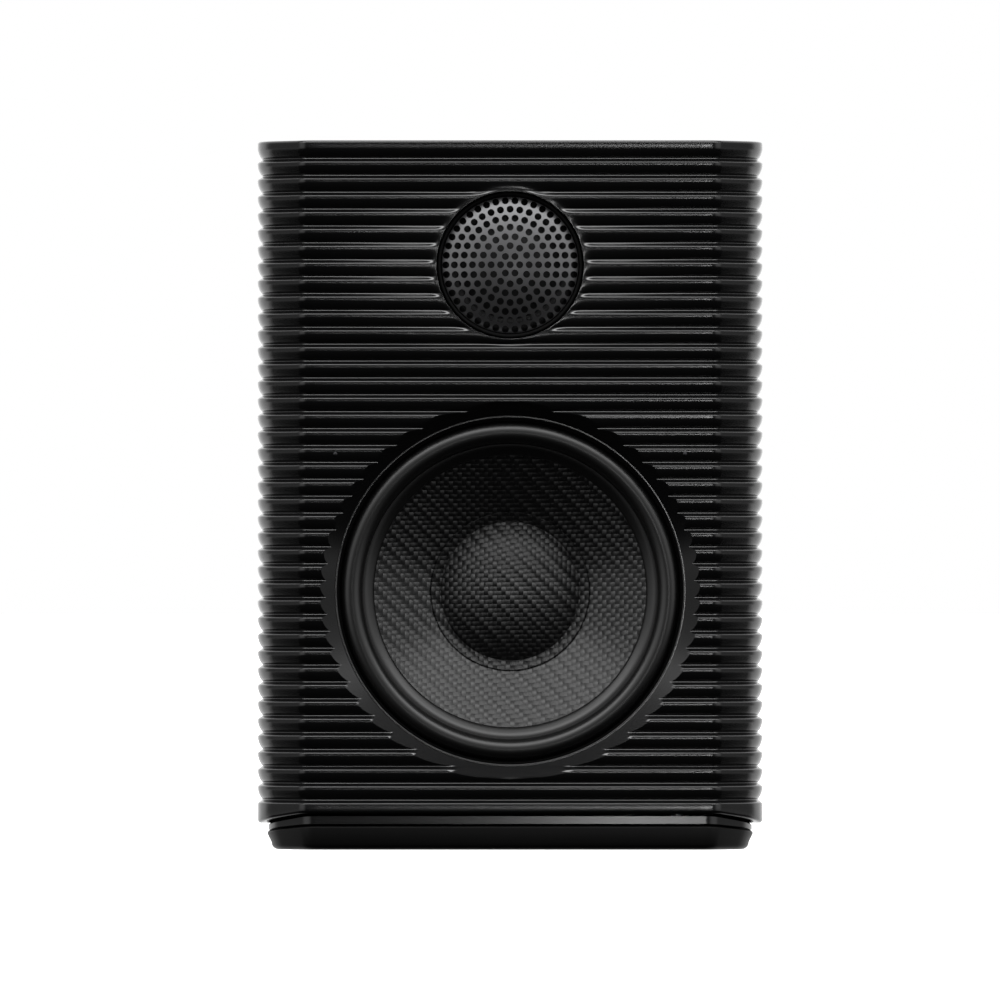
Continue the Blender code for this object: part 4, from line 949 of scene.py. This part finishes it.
def make_tweeter_dome():
    """Silk dome: a spherical cap and its small half roll."""
    look = finishes()
    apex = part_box("tweeter_dome")[0].y - FRONT
    radius, rise, thickness = 0.0125, 0.0047, 0.0004
    cap = sphere_cap(radius, rise, apex, 14)
    rim = cap[-1]
    roll = arc((0.01415, rim[1] + 0.0001), 0.00165, pi, 0, 8)
    roll[:, 1] = rim[1] - (roll[:, 1] - rim[1]) * 0.55
    front = np.concatenate([cap, roll[1:]])
    back = front[::-1] + np.array([0, thickness])
    turned_piece(
        "tweeter_dome_silk", np.concatenate([front, back]), front_centre(TWEETER_Z), look["silk"],
        steps=96, closed=False, stands_for=["tweeter_dome"], body=TWEETER_BODY,
    )


# ---------------------------------------------------------------- woofer
def surround_halves():
    """The rubber ring's section as (r, depth) loops, parted at the crest of its half roll: outside
    the crest, and inside it with the valley and the lip on the cone. Going inwards from the crest
    the inner loop only gets deeper."""
    thickness, edge = 0.0005, 0.0449
    foot, crest, inside = SURROUND_FOOT, ROLL_MIDDLE, ROLL - thickness
    lip = np.array([
        (0.0349, 0.00556), (0.0346, 0.00561), (0.0343, 0.00568), (0.0339, 0.00588),
        (0.0335, 0.00614), (0.0330, 0.00650), (0.0326, 0.00680), (0.03232, 0.00710),
        (0.03225, 0.00745),
    ])

    def roll(radius, start, end, drop):
        a = np.radians(np.linspace(start, end, 14))
        return np.stack([crest + radius * np.cos(a), foot + drop - radius * np.sin(a)], axis=1)

    near = 0.6
    outer = np.concatenate([
        roll(ROLL, 90, 90 - near, 0)[[0, -1]],
        roll(ROLL, 90 - 2 * near, 4, 0),
        [(crest + ROLL + 0.0003, foot), (edge, foot), (edge, foot + thickness)],
        roll(inside, 0, 90, thickness),
    ])
    inner = np.concatenate([
        roll(ROLL, 90, 90 + near, 0)[[0, -1]],
        roll(ROLL, 90 + 2 * near, 172, 0),
        lip,
        lip[::-1] + np.array([0.0, 0.0004]),
        roll(inside, 172, 90, thickness),
    ])
    return outer, inner


def make_surround():
    """Rubber ring in two halves, parted at the crest of its roll."""
    look = finishes()["surround"]
    centre = front_centre(WOOFER_Z)
    outer, inner = surround_halves()
    turned_piece(
        "surround_outer_half", outer, centre, look, steps=160, stands_for=["woofer_surround"],
        sharp=60.0,
    )
    half = turned_piece(
        "surround_inner_half", inner, centre, look, steps=160, slot="woofer_surround",
        sharp=60.0, body=None,
    )
    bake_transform(half)


def cone_depth(r):
    """Depth of the cone's front face behind the cabinet's front plane at radius r."""
    return 0.0078 + (0.0323 - r) * CONE_SLOPE


def make_cone():
    """Straight-sided cone: an annulus of constant slope and thickness."""
    outer, inner, wall = 0.0339, 0.0168, 0.0007
    outline = [
        (outer, cone_depth(outer)), (outer, cone_depth(outer) + wall),
        (inner, cone_depth(inner) + wall), (inner, cone_depth(inner)),
    ]
    turned_piece(
        "carbon_cone", outline, front_centre(WOOFER_Z), finishes()["carbon"], steps=160,
        stands_for=["woofer_cone"], body=WOOFER_BODY,
    )


def make_dust_cap():
    """Spherical cap with a narrow flange that lies on the cone."""
    radius, flange, rise, seat = 0.0165, 0.0188, 0.0060, 0.0004
    cap = sphere_cap(radius, rise, cone_depth(radius) - seat - rise, 24)
    edge = np.array([
        (flange - 0.0001, cone_depth(flange) - seat),
        (flange, cone_depth(flange) - seat + 0.0001),
        (flange, cone_depth(flange) - 0.00015),
    ])
    inside = cap[::-1] + np.array([0, 0.0003])
    turned_piece(
        "carbon_dust_cap", np.concatenate([cap, edge, inside]), front_centre(WOOFER_Z),
        finishes()["cap"], steps=160, closed=False, stands_for=["woofer_dust_cap"],
        body=WOOFER_BODY,
    )


def make_throat_edge():
    """Rounded lip of the opening the woofer shows through: a narrow ring whose front is an arc."""
    size = sizes()
    outer = size.throat_radius - 0.00002
    deep = (size.sink_radius - size.throat_radius) / SINK_SLOPE
    radius = 0.0003
    front = arc((outer - radius, deep + radius), radius, -pi / 2, -pi, 5)
    outline = np.concatenate([
        [(outer, deep + 0.00002)], front, [(outer - 2 * radius, WALL_BACK), (outer, WALL_BACK)]
    ])
    turned_piece(
        "throat_edge", outline, front_centre(WOOFER_Z), finishes()["enamel"], steps=160,
        slot="cabinet", sharp=60.0,
    )


def make_spider():
    """Corrugated cloth ring between basket and former: a shallow cone with five waves."""
    outer, inner, thickness, wave = 0.0330, 0.0169, 0.0004, 0.00025
    share = np.linspace(0, 1, 61)
    r = outer + (inner - outer) * share
    depth = SPIDER_FOOT + SPIDER_RISE * share + wave * np.sin(10 * pi * share) * np.sin(pi * share)
    front = np.stack([r, depth], axis=1)
    piece = turned_piece(
        "spider_ring", np.concatenate([front, front[::-1] + np.array([0, thickness])]),
        front_centre(WOOFER_Z), finishes()["cloth"], steps=96, stands_for=["woofer_spider"],
        sharp=60.0, body=None,
    )
    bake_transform(piece)


def make_front_dots():
    """Two tiny lens-shaped dots on a rib, one each side between the drivers."""
    radius, rise, proud, deep = 0.00045, 0.00015, 0.0001, 0.0006
    cap = sphere_cap(radius, rise, -proud, 5)
    rear = np.array([(radius, deep), (0.0, deep)])
    for side, x in (("left", -DOT_APART), ("right", DOT_APART)):
        turned_piece(
            f"front_dot_{side}", np.concatenate([cap, rear]), (x, FRONT, DOT_HEIGHT),
            finishes()["blacked"], steps=24, closed=False, slot="cabinet",
        )


def make_foam_ring():
    """Flat ring of foam between the cabinet and the surround's flange."""
    low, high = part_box("woofer_gasket")
    inner, outer = 0.0406, radius_of("woofer_gasket")
    front, rear = low.y - FRONT, high.y - FRONT
    outline = rounded([(inner, front), (outer, front), (outer, rear), (inner, rear)], 0.0001)
    turned_piece(
        "foam_ring", outline, front_centre(WOOFER_Z), finishes()["foam"], steps=128,
        stands_for=["woofer_gasket"],
    )


# ---------------------------------------------------------------- back
def back_centre(node):
    """Point on the rear face at the middle of a node."""
    place = middle(node)
    return (place.x, BACK, place.z)


def round_part(node):
    """Radius of a round part on the back, and the depths of its inner and outer ends."""
    low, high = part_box(node)
    return radius_of(node), low.y - BACK, high.y - BACK


def make_port():
    """Flared bass port: wide rounded mouth on the panel, straight tube, rounded inner end."""
    flange, end, lip = round_part("bass_port")
    tube, wall, flare = 0.0130, 0.0018, 0.005
    mouth = arc((tube + flare, lip - flare), flare, pi, pi / 2, 10)
    inside = np.concatenate([[(tube, end + 0.0009)], mouth])
    outside = rounded(
        [(flange, lip), (flange, GAP), (tube + wall, GAP), (tube + wall, end), (tube, end)],
        [0.0006, 0.0002, 0, 0.0008, 0.0008],
        closed=True,
    )
    turned_piece(
        "flared_port", np.concatenate([inside, outside]), back_centre("bass_port"),
        finishes()["plastic"], steps=96, stands_for=["bass_port"],
    )


def make_knob(prefix, body):
    """Control knob: knurled side, dished face and a raised pointer."""
    node = f"{prefix}_knob"
    radius, foot, tall = round_part(node)
    tooth, bore, sunk = 0.0011, 0.0033, 0.0005
    teeth = int(radius * 2 * pi / tooth)
    socket = tall * 0.6
    profile = rounded(
        [(0.0, tall - sunk), (radius * 0.62, tall - sunk), (radius * 0.72, tall), (radius, tall),
         (radius, foot), (bore, foot), (bore, socket), (0.0, socket)],
        [0, 0.0006, 0.0006, 0.0008, 0.0004, 0, 0, 0],
        closed=False,
    )

    def knurl(r, d, a):
        side = (r > radius * 0.96) & (d < tall - 0.0012) & (d > foot + 0.0008)
        return r - side * 0.00028 * (0.5 + 0.5 * np.cos(a * teeth)) ** 2

    extra = np.linspace(tall - 0.0011, foot + 0.0009, 6)
    side_points = np.stack([np.full(6, radius), extra], axis=1)
    split = int(np.argmin(np.hypot(profile[:, 0] - radius, profile[:, 1] - foot - 0.0004)))
    split = max(split, 1)
    profile = np.concatenate([profile[:split], side_points, profile[split:]])
    turned_piece(
        f"{prefix}_knob_cap", profile, back_centre(node), finishes()["knob"], steps=teeth * 6,
        closed=False, stands_for=[node], body=body, wave=knurl, sharp=50.0,
    )
    x, y, z = back_centre(node)
    half = 0.0004
    start, end = radius * 0.30, radius * 0.92
    loops = []
    for level, grow in ((tall - 0.0007, 0.0), (tall + 0.00003, 0.0), (tall + 0.00015, -0.00012)):
        corners = np.array([(-half - grow, start - grow), (half + grow, start - grow),
                            (half + grow, end + grow), (-half - grow, end + grow)])
        ring = rounded(corners, 0.0002)
        loops.append(np.stack([x + ring[:, 0], y + level + 0 * ring[:, 0], z + ring[:, 1]], axis=1))
    stacked_piece(f"{prefix}_pointer", loops, finishes()["white"], body=body, slot=node)


def make_scale(prefix):
    """Painted scale round a knob: eleven short bars, thin boxes turned about the knob's axis."""
    node = f"{prefix}_knob"
    radius = radius_of(node)
    x, y, z = back_centre(node)
    angle = np.radians(np.linspace(-150, 150, 11)) + pi / 2
    far = np.full(11, 0.0018)
    far[[0, 5, 10]] = 0.0024
    along = np.stack([np.cos(angle), np.sin(angle)], axis=1)[:, None, :]
    aside = np.stack([-np.sin(angle), np.cos(angle)], axis=1)[:, None, :] * 0.00016
    reach = np.stack([0 * far + 0.0009, 0 * far + 0.0009, far, far], axis=1)[:, :, None] + radius
    sign = np.array([-1, 1, 1, -1])[None, :, None]
    flat = along * reach + aside * sign
    low = np.stack([x + flat[..., 0], y + 0 * flat[..., 0], z + flat[..., 1]], axis=2)
    points = np.concatenate([low, low + np.array([0, 0.00008, 0])], axis=1)
    bar = np.array([[3, 2, 1, 0], [4, 5, 6, 7], [0, 1, 5, 4], [1, 2, 6, 5], [2, 3, 7, 6], [3, 0, 4, 7]])
    faces = (np.arange(11)[:, None, None] * 8 + bar[None]).reshape(-1, 4)
    make_piece(f"{prefix}_scale", points, faces, finishes()["white"], slot="rear_panel")


def make_phono(prefix, insert_finish):
    """Phono jack: turned shell with a flange, and a coloured insert with its hole."""
    shell_node, insert_node = f"{prefix}_shell", f"{prefix}_insert"
    flange, rear, proud = round_part(shell_node)
    outer, bore, step = 0.0042, 0.0033, 0.0012
    shell = rounded(
        [(outer, proud), (outer, step), (flange, step), (flange, GAP), (outer, GAP),
         (outer, rear), (bore, rear), (bore, proud)],
        [0.0003, 0.0003, 0.0003, 0.0001, 0, 0, 0, 0.0003],
    )
    centre = back_centre(shell_node)
    turned_piece(f"{prefix}_jack_shell", shell, centre, finishes()["nickel"], steps=64,
                 stands_for=[shell_node])
    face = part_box(insert_node)[1].y - BACK
    hole, hole_end = 0.0016, -0.0025
    insert = rounded(
        [(0.0, hole_end), (hole, hole_end), (hole, face), (bore - GAP, face), (bore - GAP, rear),
         (0.0, rear)],
        [0, 0, 0.0004, 0.0004, 0, 0],
        closed=False,
    )
    turned_piece(f"{prefix}_jack_insert", insert, centre, insert_finish, steps=64, closed=False,
                 stands_for=[insert_node])


def make_socket(node, hole):
    """Barrel jack: ring nut with grip notches, a chamfered mouth and a blind hole."""
    nut, rear, proud = round_part(node)
    barrel = nut - 0.0014
    end = rear + 0.002
    profile = rounded(
        [(0.0, end), (hole, end), (hole, proud - 0.0004), (hole + 0.0005, proud),
         (nut, proud), (nut, GAP), (barrel, GAP), (barrel, rear), (0.0, rear)],
        [0, 0, 0.0001, 0.0001, 0.0004, 0.0001, 0, 0, 0],
        closed=False,
    )

    def notch(r, d, a):
        side = (r > nut * 0.97) & (d > GAP * 1.5)
        return r - side * 0.0003 * (np.cos(a * 12) > 0.55)

    turned_piece(f"{node}_barrel", profile, back_centre(node), finishes()["plastic"], steps=144,
                 closed=False, stands_for=[node], wave=notch)


def box_loops(low, high, levels, cut):
    """Rounded rectangle in x and z carried along y: levels are (y, inset) pairs."""
    loops = []
    for y, inset in levels:
        corners = np.array([(low[0] + inset, low[2] + inset), (high[0] - inset, low[2] + inset),
                            (high[0] - inset, high[2] - inset), (low[0] + inset, high[2] - inset)])
        ring = rounded(corners, max(cut - inset, 0.0001), 4)
        loops.append(np.stack([ring[:, 0], y + 0 * ring[:, 0], ring[:, 1]], axis=1))
    return loops


def make_bezel():
    """Rocker switch's bezel: a frame with a sunk well that the rocker sits in."""
    low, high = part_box("power_switch")
    wall = 0.0021
    front = high.y
    levels = [
        (low.y, 0.0013), (BACK - 0.0001, 0.0013), (BACK + GAP, 0.0), (front - 0.0003, 0.0),
        (front, 0.0004), (front, wall), (BACK - 0.0050, wall),
    ]
    stacked_piece("switch_bezel", box_loops(low, high, levels, 0.0010), finishes()["plastic"],
                  stands_for=["power_switch"])


def make_panel_screw(i):
    """Round-headed screw with a hexagonal socket: the socket's radius follows a hexagon."""
    node = f"panel_screw_{i}"
    radius, rear, top = round_part(node)
    wide, floor, shank = 0.00125, top - 0.0011, 0.0014
    profile = [
        (0.0, floor), (0.0006, floor), (wide, floor + 0.0001), (wide, top - 0.0001),
        (wide + 0.0002, top), (radius - 0.0004, top), (radius - 0.0001, top - 0.0001),
        (radius, top - 0.0004), (radius, GAP), (shank, GAP), (shank, rear), (0.0, rear),
    ]

    def hexagon(r, d, a):
        side = (np.abs(r - wide) < 1e-6) & (d > floor)
        return np.where(side, r * cos(pi / 6) / np.cos(np.mod(a, pi / 3) - pi / 6), r)

    turned_piece(
        f"panel_bolt_{i}", profile, back_centre(node), finishes()["blacked"], steps=72,
        closed=False, stands_for=[node], wave=hexagon, sharp=35.0,
    )


# ---------------------------------------------------------------- frame nodes that stay as they are
FINISH_NODES = {
    "panel": ("rear_panel",),
    "blacked": ("woofer_basket", "volume_pot", "treble_pot", "bass_pot"),
    "ferrite": ("woofer_magnet",),
    "film": ("voice_coil_former",),
    "copper": ("woofer_voice_coil", "tweeter_coil", "output_choke"),
    "nickel": ("tweeter_magnet",),
    "gloss": ("power_rocker",),
    "board": ("amplifier_board",),
    "sleeve": ("capacitor_1", "capacitor_2"),
}
NODE_FINISHES = {node: kind for kind, nodes in FINISH_NODES.items() for node in nodes}


def dress_frame_nodes():
    """Gives every frame node that is still shown its finish; the metal parts are zinc."""
    look = finishes()
    for name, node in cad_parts.items():
        if node.hide_render:
            continue
        kind = NODE_FINISHES.get(name, "zinc")
        node.data.materials.clear()
        node.data.materials.append(look[kind])


# ---------------------------------------------------------------- stage
def pale_floor():
    """Plain pale floor, wide enough to run out of sight. It glows enough to stay even to its far
    edge, and is left out of the object's reflections."""
    mesh = bpy.data.meshes.new("floor")
    reach = 30.0
    points = [(-reach, -reach, 0), (reach, -reach, 0), (reach, reach, 0), (-reach, reach, 0)]
    mesh.from_pydata(points, [], [(0, 1, 2, 3)])
    floor = bpy.data.objects.new("floor", mesh)
    bpy.context.scene.collection.objects.link(floor)
    glow = {"Emission Color": (1.0, 1.0, 1.0, 1.0), "Emission Strength": 0.92}
    finish = grained("pale floor", (0.80, 0.80, 0.80), 0.7, 40.0, 0.0, 0.02, 0.01, **glow)
    mesh.materials.append(finish)
    floor.visible_glossy = False
    floor.visible_diffuse = False
    floor.visible_shadow = False


def soft_world():
    """Studio surroundings, by the angle round the object seen from its side: dim in front, a bright
    softbox up in front, black below, bright behind. At the object's own height there is a softer
    wing on each side, dimmer square to the side. The camera sees a white backdrop instead."""
    stage = bpy.context.scene.speaker_stage
    world = bpy.data.worlds.new("studio")
    bpy.context.scene.world = world
    world.use_nodes = True
    tree = world.node_tree
    tree.nodes.clear()
    where = add_node(tree, "ShaderNodeTexCoord").outputs["Generated"]
    split = add_node(tree, "ShaderNodeSeparateXYZ", None, {0: where}).outputs
    forward = math(tree, "MULTIPLY", split["Y"], -1.0)
    angle = math(tree, "ARCTAN2", split["Z"], forward)
    share = math(tree, "MULTIPLY_ADD", angle, 1 / (2 * pi), 0.5)
    ramp = add_node(tree, "ShaderNodeValToRGB", None, {0: share})
    top, back = stage.overhead, stage.behind
    stops = [
        (-180, back), (-140, back), (-112, 0.01), (-6, 0.01), (-2, stage.front), (14, stage.front),
        (38, 0.25 * top), (46, top), (64, top), (70, 0.05), (94, 0.05), (108, back), (180, back),
    ]
    elements = ramp.color_ramp.elements
    while len(elements) < len(stops):
        elements.new(0.5)
    for element, (degrees, level) in zip(elements, stops):
        element.position = degrees / 360 + 0.5
        element.color = (level, level, level, 1.0)
    aside = math(tree, "ABSOLUTE", split["X"])

    def between(value, low, high):
        settings = {"interpolation_type": "SMOOTHSTEP"}
        return add_node(tree, "ShaderNodeMapRange", settings, {0: value, 1: low, 2: high}).outputs[0]

    band_low, band_high = between(split["Z"], -0.30, -0.05), between(split["Z"], 0.60, 0.30)
    level_band = math(tree, "MULTIPLY", band_low, band_high)
    wing = math(tree, "MULTIPLY", between(aside, 0.30, 0.62), level_band)
    wing = math(tree, "MULTIPLY", wing, between(forward, -0.30, 0.0))
    level = blend_colours(tree, wing, ramp.outputs["Color"], (stage.wings,) * 3 + (1.0,))
    edge = math(tree, "MULTIPLY", between(aside, 0.86, 0.99), level_band)
    level = blend_colours(tree, edge, level, (stage.side,) * 3 + (1.0,))
    seen = add_node(tree, "ShaderNodeLightPath").outputs["Is Camera Ray"]
    around = add_node(tree, "ShaderNodeBackground", None, {0: level, 1: 1.0}).outputs[0]
    backdrop = add_node(tree, "ShaderNodeBackground", None, {0: (1, 1, 1, 1), 1: 1.0}).outputs[0]
    mixed = add_node(tree, "ShaderNodeMixShader", None, {0: seen, 1: around, 2: backdrop})
    add_node(tree, "ShaderNodeOutputWorld", None, {0: mixed.outputs[0]})


def soft_light(name, place, target, width, height, power):
    """Rectangular softbox aimed at a point."""
    data = bpy.data.lights.new(name, "AREA")
    data.shape = "RECTANGLE"
    data.size, data.size_y = width, height
    data.energy = power
    light = bpy.data.objects.new(name, data)
    bpy.context.scene.collection.objects.link(light)
    light.location = place
    light.rotation_mode = "QUATERNION"
    light.rotation_quaternion = (Vector(target) - Vector(place)).to_track_quat("-Z", "Y")
    light.visible_camera = False
    return light


def make_camera():
    stage = bpy.context.scene.speaker_stage
    data = bpy.data.cameras.new("camera")
    data.sensor_width = 36.0
    data.lens = data.sensor_width * stage.view_distance / stage.view_width
    data.clip_start, data.clip_end = 0.05, 100.0
    camera = bpy.data.objects.new("camera", data)
    bpy.context.scene.collection.objects.link(camera)
    aside = -0.0024  # the view's middle lies a little left of the object's
    camera.location = (aside, FRONT - stage.view_distance, stage.view_height)
    aim = Vector((aside, FRONT, stage.aim_height))
    camera.rotation_mode = "QUATERNION"
    camera.rotation_quaternion = (aim - camera.location).to_track_quat("-Z", "Y")
    bpy.context.scene.camera = camera


def make_lights():
    """A narrow strip in front whose beam favours the right, and a wide softbox up in front that only
    the casting receives."""
    stage = bpy.context.scene.speaker_stage
    level, aside, far = 0.09, 0.25, 3.4
    place, aim = (aside, FRONT - far, level), (aside, FRONT, level)
    strip = soft_light("front_strip", place, aim, 0.15, 1.0, stage.strip)
    strip.data.spread = radians(12.0)
    rise, away = radians(52.0), 2.0
    place = (0.0, FRONT - away * cos(rise), level + away * sin(rise))
    rib_box = soft_light("rib_softbox", place, (0.0, FRONT, level), 3.0, 0.9, stage.rib_box)
    receivers = bpy.data.collections.new("rib_softbox_receivers")
    receivers.objects.link(bpy.data.objects["cabinet_skin"])
    rib_box.light_linking.receiver_collection = receivers
    bpy.context.scene.view_settings.view_transform = "Standard"


# ---------------------------------------------------------------- operators and panel
class SPEAKER_OT_cabinet(bpy.types.Operator):
    """Build the ribbed casting, the rim of the woofer's opening and the two dots"""

    bl_idname = "speaker.cabinet"
    bl_label = "Cabinet"

    def execute(self, context):
        make_cabinet()
        make_throat_edge()
        make_front_dots()
        return {"FINISHED"}


class SPEAKER_OT_base(bpy.types.Operator):
    """Build the neck plate and the foot pad"""

    bl_idname = "speaker.base"
    bl_label = "Neck and Pad"

    def execute(self, context):
        make_neck()
        make_foot_pad()
        return {"FINISHED"}


class SPEAKER_OT_grille(bpy.types.Operator):
    """Build the perforated grille"""

    bl_idname = "speaker.grille"
    bl_label = "Tweeter Grille"

    def execute(self, context):
        make_grille()
        return {"FINISHED"}


class SPEAKER_OT_tweeter(bpy.types.Operator):
    """Build the tweeter's ring and dome"""

    bl_idname = "speaker.tweeter"
    bl_label = "Tweeter Ring and Dome"

    def execute(self, context):
        make_tweeter_ring()
        make_tweeter_dome()
        return {"FINISHED"}


class SPEAKER_OT_surround(bpy.types.Operator):
    """Build the woofer's rubber surround, foam ring and spider"""

    bl_idname = "speaker.surround"
    bl_label = "Woofer Surround and Spider"

    def execute(self, context):
        make_surround()
        make_foam_ring()
        make_spider()
        return {"FINISHED"}


class SPEAKER_OT_cone(bpy.types.Operator):
    """Build the carbon cone and its dust cap"""

    bl_idname = "speaker.cone"
    bl_label = "Woofer Cone and Cap"

    def execute(self, context):
        make_cone()
        make_dust_cap()
        return {"FINISHED"}


class SPEAKER_OT_port(bpy.types.Operator):
    """Build the flared bass port"""

    bl_idname = "speaker.port"
    bl_label = "Bass Port"

    def execute(self, context):
        make_port()
        return {"FINISHED"}


class SPEAKER_OT_knobs(bpy.types.Operator):
    """Build the three control knobs, their pointers and scales"""

    bl_idname = "speaker.knobs"
    bl_label = "Knobs"

    def execute(self, context):
        for prefix in ("volume", "treble", "bass"):
            make_knob(prefix, f"{prefix}_control")
            make_scale(prefix)
        return {"FINISHED"}


class SPEAKER_OT_jacks(bpy.types.Operator):
    """Build the line jacks and the barrel jacks"""

    bl_idname = "speaker.jacks"
    bl_label = "Jacks"

    def execute(self, context):
        make_phono("line_white", finishes()["white"])
        make_phono("line_red", finishes()["red"])
        for node, hole in (("aux_jack", 0.00175), ("link_jack", 0.0019), ("dc_jack", 0.0019)):
            make_socket(node, hole)
        return {"FINISHED"}


class SPEAKER_OT_switch(bpy.types.Operator):
    """Build the power switch's bezel"""

    bl_idname = "speaker.switch"
    bl_label = "Power Switch"

    def execute(self, context):
        make_bezel()
        return {"FINISHED"}


class SPEAKER_OT_screws(bpy.types.Operator):
    """Build the rear panel's socket screws"""

    bl_idname = "speaker.screws"
    bl_label = "Panel Screws"

    def execute(self, context):
        for i in range(1, 5):
            make_panel_screw(i)
        return {"FINISHED"}


class SPEAKER_OT_frame_nodes(bpy.types.Operator):
    """Give the parts that stay as they are their finishes"""

    bl_idname = "speaker.frame_nodes"
    bl_label = "Rear Panel and Inner Parts"

    def execute(self, context):
        dress_frame_nodes()
        return {"FINISHED"}


class SPEAKER_OT_stage(bpy.types.Operator):
    """Build the floor, lights and camera"""

    bl_idname = "speaker.stage"
    bl_label = "Stage"

    def execute(self, context):
        pale_floor()
        soft_world()
        make_lights()
        make_camera()
        return {"FINISHED"}


OPERATORS = (
    SPEAKER_OT_cabinet,
    SPEAKER_OT_base,
    SPEAKER_OT_grille,
    SPEAKER_OT_tweeter,
    SPEAKER_OT_surround,
    SPEAKER_OT_cone,
    SPEAKER_OT_port,
    SPEAKER_OT_knobs,
    SPEAKER_OT_jacks,
    SPEAKER_OT_switch,
    SPEAKER_OT_screws,
    SPEAKER_OT_frame_nodes,
    SPEAKER_OT_stage,
)


class SPEAKER_PT_build(bpy.types.Panel):
    """Sidebar panel with the sizes, the colours and the pieces"""

    bl_idname = "SPEAKER_PT_build"
    bl_label = "Speaker"
    bl_space_type = "VIEW_3D"
    bl_region_type = "UI"
    bl_category = "Speaker"

    def draw(self, context):
        scene = context.scene
        for group in (scene.speaker_sizes, scene.speaker_colours, scene.speaker_stage):
            box = self.layout.box()
            for name in group.__annotations__:
                box.prop(group, name)
        column = self.layout.column(align=True)
        for kind in OPERATORS:
            column.operator(kind.bl_idname)


CLASSES = (SpeakerSizes, SpeakerColours, SpeakerStage, *OPERATORS, SPEAKER_PT_build)


def register():
    """Add the properties, operators and panel."""
    for kind in CLASSES:
        bpy.utils.register_class(kind)
    scene = bpy.types.Scene
    scene.speaker_sizes = bpy.props.PointerProperty(type=SpeakerSizes)
    scene.speaker_colours = bpy.props.PointerProperty(type=SpeakerColours)
    scene.speaker_stage = bpy.props.PointerProperty(type=SpeakerStage)


def unregister():
    """Take them out again."""
    scene = bpy.types.Scene
    del scene.speaker_stage, scene.speaker_colours, scene.speaker_sizes
    for kind in reversed(CLASSES):
        bpy.utils.unregister_class(kind)


def main():
    """Build everything in order."""
    register()
    for kind in OPERATORS:
        getattr(bpy.ops.speaker, kind.bl_idname.partition(".")[2])()


if __name__ == "__main__":
    main()
